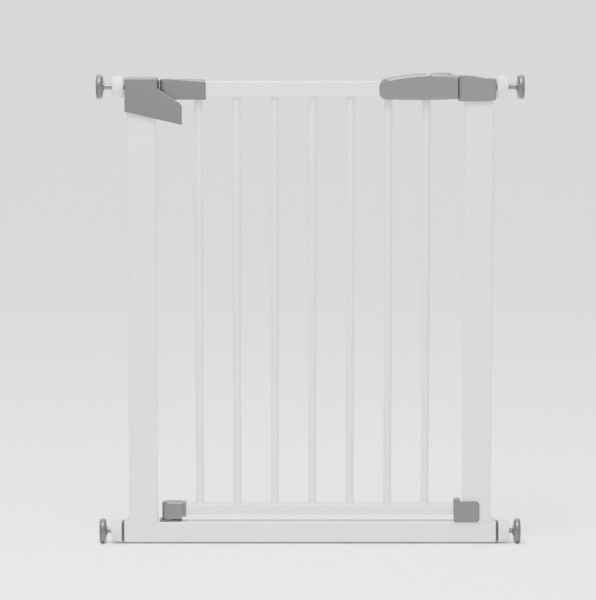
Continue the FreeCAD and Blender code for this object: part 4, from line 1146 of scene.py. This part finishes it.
@dataclass
class DoorPanel(Assembly):
    """The door's two rails, its round bars and the cap on the end of the lower rail."""

    corner: float = 2.0 * MM
    wall: float = 1.5 * MM
    mouth_depth: float = 5.0 * MM
    flare: float = 0.9 * MM
    flare_height: float = 1.6 * MM
    flare_share: float = 0.35
    cap_round: float = 2.2 * MM
    peg_lap: float = 2 * MM
    peg_radius: float = 3.5 * MM
    peg_round: float = 0.9 * MM
    cap_soften: float = 0.6 * MM

    def build(self) -> None:
        """Make the rails, the bars and the end cap."""
        for name in ("top_rail", "bottom_rail"):
            self.rail(name)
        self.bars()
        self.latch_end_cap()

    def rail(self, name: str) -> None:
        """One rectangular tube with open ends."""
        low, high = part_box(name)
        rail = block(f"{name}_tube", low, high)
        round_edges(rail, self.corner, along(0), steps=5)
        open_end(rail, 0, low.x, self.wall, self.mouth_depth)
        open_end(rail, 0, high.x, self.wall, -self.mouth_depth)
        self.place(rail, "door", "white_paint", [name])

    def bars(self) -> None:
        """The round bars, each with a small weld fillet where it meets a rail."""
        low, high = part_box("door_bar_1")
        radius = (high.x - low.x) / 2
        first = (low.x + high.x) / 2
        bar = rod("door_bar_1_tube", (first, 0, low.z), high.z - low.z, radius, Axis.Z, 64)
        for place, way in ((low.z, 1.0), (high.z, -1.0)):
            for height in (self.flare_height, self.flare_height / 2):
                slice_off(bar, (0, 0, place + way * height), Vector((0, 0, 1)), keep_all=True)
            centre = Vector((first, 0, place))
            for height, share in ((0.0, 1.0), (self.flare_height / 2, self.flare_share)):
                grow = 1 + share * self.flare / radius
                mark_and_scale(bar, 2, place + way * height, centre + Vector((0, 0, way * height)),
                               (grow, grow, 1))
        for number in range(2, BAR_COUNT + 1):
            other_low, other_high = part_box(f"door_bar_{number}")
            shift = Matrix.Translation(((other_low.x + other_high.x) / 2 - first, 0, 0))
            copy = duplicate(bar, f"door_bar_{number}_tube", shift)
            self.place(copy, "door", "white_paint", [f"door_bar_{number}"])
        self.place(bar, "door", "white_paint", ["door_bar_1"])

    def latch_end_cap(self) -> None:
        """The moulding on the end of the lower rail, with the peg that drops in the catch."""
        low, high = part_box("latch_end_cap")
        rail_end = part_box("bottom_rail")[1].x
        rail_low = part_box("bottom_rail")[0].z
        head = block("latch_end_cap_moulding", (rail_end, low.y, rail_low), high)
        round_edges(head, self.cap_round, lambda a, b: rim(2, high.z)(a, b) or rim(0, high.x)(a, b), steps=5)
        stub_gap = self.wall + FIT
        stub = block("stub", (low.x, low.y + stub_gap, rail_low + stub_gap),
                     (rail_end + MARGIN, high.y - stub_gap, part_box("bottom_rail")[1].z - stub_gap))
        middle = (rail_end + high.x) / 2
        peg = rod("peg", (middle, 0, low.z), rail_low - low.z + self.peg_lap, self.peg_radius, Axis.Z)
        round_edges(peg, self.peg_round, rim(2, low.z), steps=3)
        union(head, stub, peg)
        soften(head, self.cap_soften)
        self.place(head, "door", "grey_plastic", ["latch_end_cap"])


@dataclass
class DoorHandle(Assembly):
    """The two handle shells, moulded as mirror images, with their crowned top."""

    wall: float = 2.5 * MM
    crown_radius: float = 330.0 * MM
    crown_cuts: int = 14
    left_height: float = 31.5 * MM
    shoulder: float = 5.5 * MM
    left_round: float = 10.0 * MM
    notch_depth: float = 3.0 * MM
    notch_radius: float = 4.6 * MM
    button_travel: float = 6.5 * MM
    crown_drop: float = 1.0 * MM
    seam: float = 0.25 * MM
    right_drop: float = 3.1 * MM
    bow: float = 1.6 * MM
    bow_half: float = 25 * MM
    bar_gap: float = 0.3 * MM
    edge_soften: float = 0.5 * MM
    button_gap: float = 0.6 * MM
    flange_drop: float = 11 * MM
    bolt_gap: float = 0.35 * MM
    notch_aside: float = 3.2 * MM
    notch_start: float = 20 * MM
    notch_length: float = 25 * MM
    button_rim: float = 2 * MM
    way_lap: float = 1.4 * MM
    way_rise: float = 16 * MM

    def build(self) -> None:
        """Make the front shell and mirror it for the rear one."""
        low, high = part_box("front_handle_shell")
        front = self.shell(low, high)
        rear = duplicate(front, "rear_handle_moulding", MIRROR_Y)
        self.place(front, "door", "light_grey_plastic",
                  ["front_handle_shell"])
        self.place(rear, "door", "light_grey_plastic",
                  ["rear_handle_shell"])

    def crown(self, low: Vector, high: Vector) -> list[tuple[float, float]]:
        """Points on the crowned top, from the left end to the right one."""
        left, right = Vector((low.x, low.z + self.left_height)), Vector((high.x, high.z - self.right_drop))
        chord = right - left
        sag_centre = math.sqrt(self.crown_radius ** 2 - (chord.length / 2) ** 2)
        normal = Vector((chord.y, -chord.x)).normalized()
        centre = (left + right) / 2 + normal * sag_centre
        start = math.atan2(left.y - centre.y, left.x - centre.x)
        stop = math.atan2(right.y - centre.y, right.x - centre.x)
        points = []
        for step in range(self.crown_cuts + 1):
            angle = start + (stop - start) * step / self.crown_cuts
            across = centre.x + self.crown_radius * math.cos(angle)
            points.append((across, centre.y + self.crown_radius * math.sin(angle)))
        return points

    def shell(self, low: Vector, high: Vector) -> Piece:
        """The front shell.

        Args:
            low: The lowest corner of the shell's place.
            high: Its highest corner.

        Returns:
            The shell, not yet dressed.
        """
        shell = block("front_handle_moulding", low, (high.x, -self.seam / 2, high.z))
        points = self.crown(low, high)
        for first, second in zip(points, points[1:]):
            through(first, second, shell, upper=True)
        middle = (low.x + high.x) / 2
        through((low.x, low.z + self.bow), (middle - self.bow_half, low.z), shell, upper=False)
        through((middle + self.bow_half, low.z), (high.x, low.z + self.bow), shell, upper=False)
        face = -self.seam / 2
        round_edges(shell, self.left_round, lambda a, b: along(1)(a, b) and a.x < low.x + MARGIN, steps=8)
        round_edges(shell, self.shoulder, lambda a, b: rim(1, low.y)(a, b) and
                    min(a.x, b.x) < high.x - MARGIN, steps=9)
        hollow = block("hollow", (low.x + self.wall, low.y + self.wall, low.z + self.wall + self.bow),
                       (high.x - self.wall, face + MARGIN, low.z + self.left_height - self.wall))
        subtract(shell, hollow, self.button_well(), rail_way("top_rail"), self.button_way(low, high),
                 self.bolt_way(), self.notch(high), *bar_ways(low.x, high.x, low.z - MARGIN, self.bar_gap))
        soften(shell, self.edge_soften, steps=3, angle=38)
        return shell

    def button_well(self) -> Piece:
        """The room under the crown for the button's flange over its whole travel."""
        low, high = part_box("release_button")
        gap = self.button_gap
        return block("button_well", (low.x - self.button_travel - gap, low.y - gap, low.z),
                     (high.x + gap, MARGIN, high.z - self.flange_drop + gap))

    def bolt_way(self) -> Piece:
        """The window for the bolt in the handle's right end."""
        low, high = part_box("latch_bolt")
        gap = Vector((0, self.bolt_gap, self.bolt_gap))
        return block("bolt_way", low - gap, high + gap)

    def notch(self, high: Vector) -> Piece:
        """The cutter of the dip in the crown to the left of the button."""
        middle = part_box("release_button")[0].x - self.notch_aside
        height = high.z - self.crown_drop - self.notch_depth + self.notch_radius
        return rod("notch", (middle, -self.notch_start, height), self.notch_length, self.notch_radius,
                   Axis.Y, 32)

    def button_way(self, low: Vector, high: Vector) -> Piece:
        """The slot for the button in the crowned top."""
        button_low, button_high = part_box("release_button")
        side = self.button_rim - self.button_gap
        return block("button_way", (button_low.x - self.button_travel + self.way_lap, button_low.y + side,
                                    low.z + self.way_rise),
                     (button_high.x + self.button_gap, button_high.y - side, high.z + MARGIN))


@dataclass
class ReleaseButton(Assembly):
    """The sliding button with its grip ridges."""

    ridges: int = 6
    ridge_height: float = 0.9 * MM
    edge: float = 1.6 * MM
    stem_half: float = 2.4 * MM
    rim_width: float = 2 * MM
    thumb_height: float = 12 * MM
    flange_round: float = 0.8 * MM
    flange_low: float = 13.5 * MM
    flange_high: float = 11 * MM
    stem_top: float = 9 * MM
    grip_margin: float = 3 * MM
    grip_inset: float = 2.2 * MM
    grip_sink: float = 0.6 * MM
    grip_round: float = 0.42 * MM
    grip_soften: float = 0.25 * MM

    def build(self) -> None:
        """Make the button: a flange, a thumb piece and its ridges."""
        low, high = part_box("release_button")
        thumb_top = high.z - self.ridge_height
        thumb_low = Vector((low.x + self.rim_width, low.y + self.rim_width, high.z - self.thumb_height))
        thumb = block("release_button_moulding", thumb_low, (high.x, high.y - self.rim_width, thumb_top))
        round_edges(thumb, self.edge, lambda a, b: rim(2, thumb_top)(a, b) or along(2)(a, b), steps=5)
        flange = block("flange", (low.x, low.y, high.z - self.flange_low),
                       (high.x, high.y, high.z - self.flange_high))
        round_edges(flange, self.flange_round, along(2), steps=3)
        middle = (thumb_low.x + high.x) / 2
        stem = block("stem", (middle - self.stem_half, -self.stem_half, low.z),
                     (middle + self.stem_half, self.stem_half, high.z - self.stem_top))
        grips = []
        pitch = (high.x - thumb_low.x - 2 * self.grip_margin) / self.ridges
        for number in range(self.ridges):
            start = thumb_low.x + self.grip_margin + pitch * (number + 1 / 4)
            grip = block("grip", (start, thumb_low.y + self.grip_inset, thumb_top - self.grip_sink),
                         (start + pitch / 2, -thumb_low.y - self.grip_inset, high.z))
            round_edges(grip, self.grip_round, rim(2, high.z), steps=3)
            grips.append(grip)
        union(thumb, flange, stem, *grips)
        soften(thumb, self.grip_soften, steps=2)
        self.place(thumb, "button", "light_grey_plastic", ["release_button"])


@dataclass
class LatchSpring(Assembly):
    """The coil spring that pushes the bolt out, which shortens as the bolt is drawn back."""

    wire_radius: float = 0.5 * MM
    turns: int = 9
    steps: int = 24
    wire_sides: int = 12

    def build(self) -> None:
        """Coil a round wire along the spring's axis, from the door's end to the bolt's, and bake it in place.
        """
        low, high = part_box("latch_spring")
        coil_radius = (high.z - low.z) / 2 - self.wire_radius
        axis = (low.z + high.z) / 2
        pitch = (high.x - low.x - 2 * self.wire_radius) / self.turns
        profile = []
        for side in range(self.wire_sides):
            angle = 2 * math.pi * side / self.wire_sides
            profile.append((self.wire_radius * math.cos(angle), 0,
                            coil_radius + self.wire_radius * math.sin(angle)))
        ring = [(side, (side + 1) % self.wire_sides) for side in range(self.wire_sides)]
        spring = wind("latch_spring_coil", profile, ring, pitch, self.turns, self.steps,
                      Vector((low.x + self.wire_radius, 0, axis)))
        self.place(spring, "door", "zinc_steel", ["latch_spring"],
                  span=("bolt", Vector((low.x, 0, axis)), Vector((high.x, 0, axis))))


@dataclass
class WallAdjusters(Assembly):
    """The four screw adjusters: thumb nut, threaded spindle, pad cup and rubber face."""

    flutes: int = 18
    flute_radius: float = 1.9 * MM
    flute_depth: float = 1.15 * MM
    nut_edge: float = 2.2 * MM
    nut_taper: float = 2.4 * MM
    hub_radius: float = 8.5 * MM
    bore_radius: float = 5.05 * MM
    thread_pitch: float = 1.5 * MM
    thread_depth: float = 0.75 * MM
    thread_steps: int = 20
    crest_share: float = 0.15
    disc_share: float = 0.82
    socket_depth: float = 6.0 * MM
    pad_edge: float = 6.0 * MM
    face_edge: float = 3.2 * MM
    nut_soften: float = 0.35 * MM
    thread_end: float = 2 * MM
    thread_weld: float = 0.02 * MM
    rod_round: float = 0.5 * MM
    disc_round: float = 0.5 * MM
    hub_start: float = 3 * MM
    hub_round: float = 0.9 * MM
    cup_soften: float = 0.3 * MM
    face_rim: float = 3.5 * MM
    ring_width: float = 3.0 * MM
    ring_depth: float = 0.5 * MM
    rim_reach: float = 0.5 * MM

    def build(self) -> None:
        """Make the upper left adjuster and copy it to the other three corners."""
        names = ("nut", "spindle", "pad_cup", "pad_face")
        makers = (self.nut, self.spindle, self.pad_cup, self.pad_face)
        bodies = ("thumb_nut", "wall_foot", "wall_foot", "wall_foot")
        slots = ("white_plastic", "zinc_steel", "pad_plastic", "pad_rubber")
        for name, maker, body, slot in zip(names, makers, bodies, slots):
            first = maker()
            for corner in ("upper_right", "lower_left", "lower_right"):
                copy = duplicate(first, f"{corner}_{name}_visual", self.shift(name, corner))
                self.place(copy, f"{corner}_{body}", slot, [f"{corner}_{name}"])
            self.place(first, f"upper_left_{body}", slot, [f"upper_left_{name}"])

    def shift(self, name: str, corner: str) -> Matrix:
        """The move from the upper left adjuster's piece to the same piece at another corner."""
        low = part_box(f"upper_left_{name}")[0]
        other_low, other_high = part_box(f"{corner}_{name}")
        if corner.endswith("right"):
            half_turn = Matrix.Rotation(math.pi, 4, "Z")
            return Matrix.Translation((other_high.x + low.x, 0, other_low.z - low.z)) @ half_turn
        return Matrix.Translation((other_low.x - low.x, 0, other_low.z - low.z))

    def axis_height(self) -> float:
        """The height of the upper adjusters' axis."""
        low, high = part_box("upper_left_spindle")
        return (low.z + high.z) / 2

    def nut(self) -> Piece:
        """The thumb nut, with a fluted grip and rounded rims."""
        low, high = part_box("upper_left_nut")
        height = self.axis_height()
        radius = (high.z - low.z) / 2
        nut = rod("upper_left_nut_visual", (low.x, 0, height), high.x - low.x, radius, Axis.X, 72)
        shrink = 1 - self.nut_taper / radius
        mark_and_scale(nut, 0, low.x, Vector((low.x, 0, height)), (1, shrink, shrink))
        for place in (low.x, high.x):
            round_edges(nut, self.nut_edge, rim(0, place), steps=6)
        start, length = low.x - MARGIN, high.x - low.x + 2 * MARGIN
        cutters = []
        for number in range(self.flutes):
            angle = 2 * math.pi * (number + 1 / 2) / self.flutes
            away = radius + self.flute_radius - self.flute_depth
            cutters.append(rod("flute", (start, away * math.cos(angle), height + away * math.sin(angle)),
                               length, self.flute_radius, Axis.X, 20))
        cutters.append(rod("bore", (start, 0, height), length, self.bore_radius, Axis.X, 40))
        subtract(nut, *cutters)
        soften(nut, self.nut_soften, steps=2, angle=30)
        return nut

    def spindle(self) -> Piece:
        """The threaded rod, turned from one tooth profile along its length."""
        low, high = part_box("upper_left_spindle")
        height = self.axis_height()
        radius = (high.z - low.z) / 2
        core = radius - self.thread_depth
        turns = int((high.x - low.x - 2 * self.thread_end) / self.thread_pitch)
        core_rod = rod("upper_left_spindle_visual", (low.x, 0, height), high.x - low.x,
                       core + self.thread_weld, Axis.X, 48)
        round_edges(core_rod, self.rod_round, lambda a, b: rim(0, low.x)(a, b) or rim(0, high.x)(a, b),
                    steps=2)
        start = (low.x + high.x - (turns + 1) * self.thread_pitch) / 2
        half = self.thread_pitch / 2
        crest = half * self.crest_share
        profile = [(-half, core), (-crest, radius), (crest, radius), (half, core)]
        points = [(start + half + place, 0, away) for place, away in profile]
        thread = wind("thread", points, [(index, index + 1) for index in range(len(points) - 1)],
                      self.thread_pitch, turns, self.thread_steps, Vector((0, 0, height)), self.thread_weld)
        union(core_rod, thread)
        return core_rod

    def pad_cup(self) -> Piece:
        """The cup on the spindle's end: a hub that flares to a thick rounded disc."""
        low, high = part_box("upper_left_pad_cup")
        height = self.axis_height()
        radius = (high.z - low.z) / 2
        thickness = (high.x - low.x) * self.disc_share
        disc = rod("upper_left_pad_cup_visual", (low.x, 0, height), thickness, radius, Axis.X, 96)
        inner = low.x + thickness
        round_edges(disc, self.pad_edge, rim(0, inner), steps=8)
        round_edges(disc, self.disc_round, rim(0, low.x), steps=3)
        hub = rod("hub", (low.x + self.hub_start, 0, height), high.x - low.x - self.hub_start,
                  self.hub_radius, Axis.X, 64)
        round_edges(hub, self.hub_round, rim(0, high.x), steps=4)
        union(disc, hub)
        bore = rod("bore", (high.x + MARGIN, 0, height), -(self.socket_depth + MARGIN), self.bore_radius,
                   Axis.X, 40)
        subtract(disc, bore)
        soften(disc, self.cup_soften, steps=2)
        return disc

    def pad_face(self) -> Piece:
        """The rubber face on the wall side of the pad."""
        low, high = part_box("upper_left_pad_face")
        height = self.axis_height()
        radius = (high.z - low.z) / 2
        face = rod("upper_left_pad_face_visual", (low.x, 0, height), high.x - low.x, radius, Axis.X, 96)
        pick_faces(face, lambda middle: at(middle.x, low.x))
        for rim_width, depth in ((self.face_rim, self.ring_depth), (self.ring_width, -self.ring_depth),
                                 (self.ring_width, self.ring_depth)):
            bpy.ops.mesh.inset(thickness=rim_width)
            bpy.ops.mesh.extrude_region_move(TRANSFORM_OT_translate={"value": (depth, 0, 0)})
        leave_edit()
        round_edges(face, self.face_edge, lambda a, b: rim(0, low.x)(a, b) and
                    math.hypot(a.y, a.z - height) > radius - self.rim_reach, steps=6)
        return face


@dataclass
class Studio:
    """The pale floor, the soft lights, the world and the camera."""

    camera_distance: float = 4.5
    camera_height: float = 0.955
    aim_height: float = 0.397
    shift: float = -0.04
    aim_side: float = -0.0195
    view_width: float = 0.957
    sensor: float = 36.0
    floor_half: float = 150.0
    zenith_level: float = 4.4
    front_level: float = 0.5
    side_share: float = 0.04
    flag_start: float = 0.22
    flag_end: float = 0.7
    top_power: float = 120.0
    key_power: float = 12.0
    fill_power: float = 3.0

    def build(self) -> None:
        """Set up everything that surrounds the gate."""
        self.floor()
        self.world()
        self.light("top_light", (-0.2, -0.75, 2.3), 1.0, self.top_power)
        self.light("key_light", (-1.6, -2.6, 2.6), 1.8, self.key_power)
        self.light("fill_light", (2.2, -2.2, 1.6), 2.0, self.fill_power)
        self.light("back_light", (0.3, 2.4, 2.4), 1.8, self.fill_power)
        self.camera()

    def floor(self) -> None:
        """A wide pale floor just under the gate's lowest point."""
        level = CAD_BOX[0][2]
        floor = block("floor", (-self.floor_half, -self.floor_half, level - 0.02),
                      (self.floor_half, self.floor_half, level - 0.0002))
        material = bpy.data.materials.new("pale_floor")
        material.use_nodes = True
        shader = material.node_tree.nodes["Principled BSDF"]
        shader.inputs["Base Color"].default_value = (0.97, 0.97, 0.97, 1)
        shader.inputs["Roughness"].default_value = 0.75
        floor.data.materials.append(material)

    def world(self) -> None:
        """A bright surround: strongest overhead, weaker in front and darkest at the two sides."""
        world = bpy.data.worlds.new("pale_world")
        bpy.context.scene.world = world
        world.use_nodes = True
        nodes, links = world.node_tree.nodes, world.node_tree.links
        background = nodes["Background"]
        background.inputs["Color"].default_value = (1, 1, 1, 1)
        place = nodes.new("ShaderNodeTexCoord")
        split = nodes.new("ShaderNodeSeparateXYZ")
        links.new(place.outputs["Generated"], split.inputs["Vector"])
        upward = nodes.new("ShaderNodeMapRange")
        upward.inputs["From Min"].default_value = 0.0
        upward.inputs["From Max"].default_value = 1.0
        upward.inputs["To Min"].default_value = self.front_level
        upward.inputs["To Max"].default_value = self.zenith_level
        links.new(split.outputs["Z"], upward.inputs["Value"])
        sideways = nodes.new("ShaderNodeMath")
        sideways.operation = "ABSOLUTE"
        links.new(split.outputs["X"], sideways.inputs[0])
        flag = nodes.new("ShaderNodeMapRange")
        flag.interpolation_type = "SMOOTHSTEP"
        flag.inputs["From Min"].default_value = self.flag_start
        flag.inputs["From Max"].default_value = self.flag_end
        flag.inputs["To Min"].default_value = 1.0
        flag.inputs["To Max"].default_value = self.side_share
        links.new(sideways.outputs[0], flag.inputs["Value"])
        level = nodes.new("ShaderNodeMath")
        level.operation = "MULTIPLY"
        links.new(upward.outputs["Result"], level.inputs[0])
        links.new(flag.outputs["Result"], level.inputs[1])
        links.new(level.outputs[0], background.inputs["Strength"])

    def light(self, name: str, place: Sequence[float], width: float, power: float) -> None:
        """One soft area light aimed at the gate's middle.

        Args:
            name: The light's name.
            place: Where it stands, in metres.
            width: The width of its square face.
            power: Its power in watts.
        """
        lamp = bpy.data.lights.new(name, "AREA")
        lamp.shape = "SQUARE"
        lamp.size = width
        lamp.energy = power
        item = bpy.data.objects.new(name, lamp)
        bpy.context.scene.collection.objects.link(item)
        item.location = place
        toward = Vector((0, 0, self.aim_height)) - Vector(place)
        item.rotation_euler = toward.to_track_quat("-Z", "Y").to_euler()

    def camera(self) -> None:
        """The camera, level with the room and a little above the gate's middle."""
        lens = bpy.data.cameras.new("camera")
        lens.sensor_width = self.sensor
        lens.sensor_fit = "HORIZONTAL"
        place = Vector((self.aim_side, -self.camera_distance, self.camera_height))
        aim = Vector((self.aim_side, 0, self.aim_height - self.shift * self.view_width))
        lens.shift_y = self.shift
        lens.lens = self.sensor * (aim - place).length / self.view_width
        item = bpy.data.objects.new("camera", lens)
        bpy.context.scene.collection.objects.link(item)
        item.location = place
        item.rotation_euler = (aim - place).to_track_quat("-Z", "Y").to_euler()
        bpy.context.scene.camera = item


def main() -> None:
    """Build every sub-assembly, dress the carried-over nodes and set the stage."""
    logging.basicConfig(level=logging.INFO, format="%(message)s")
    finishes = Finishes()
    for assembly in (WeldedFrame(finishes), PostCaps(finishes), DoorHinges(finishes), DoorPanel(finishes),
                     DoorHandle(finishes), ReleaseButton(finishes), LatchSpring(finishes),
                     WallAdjusters(finishes)):
        log.info("building %s", type(assembly).__name__)
        assembly.build()
    finishes.dress_frame_nodes()
    Studio().build()


if __name__ == "__main__":
    main()
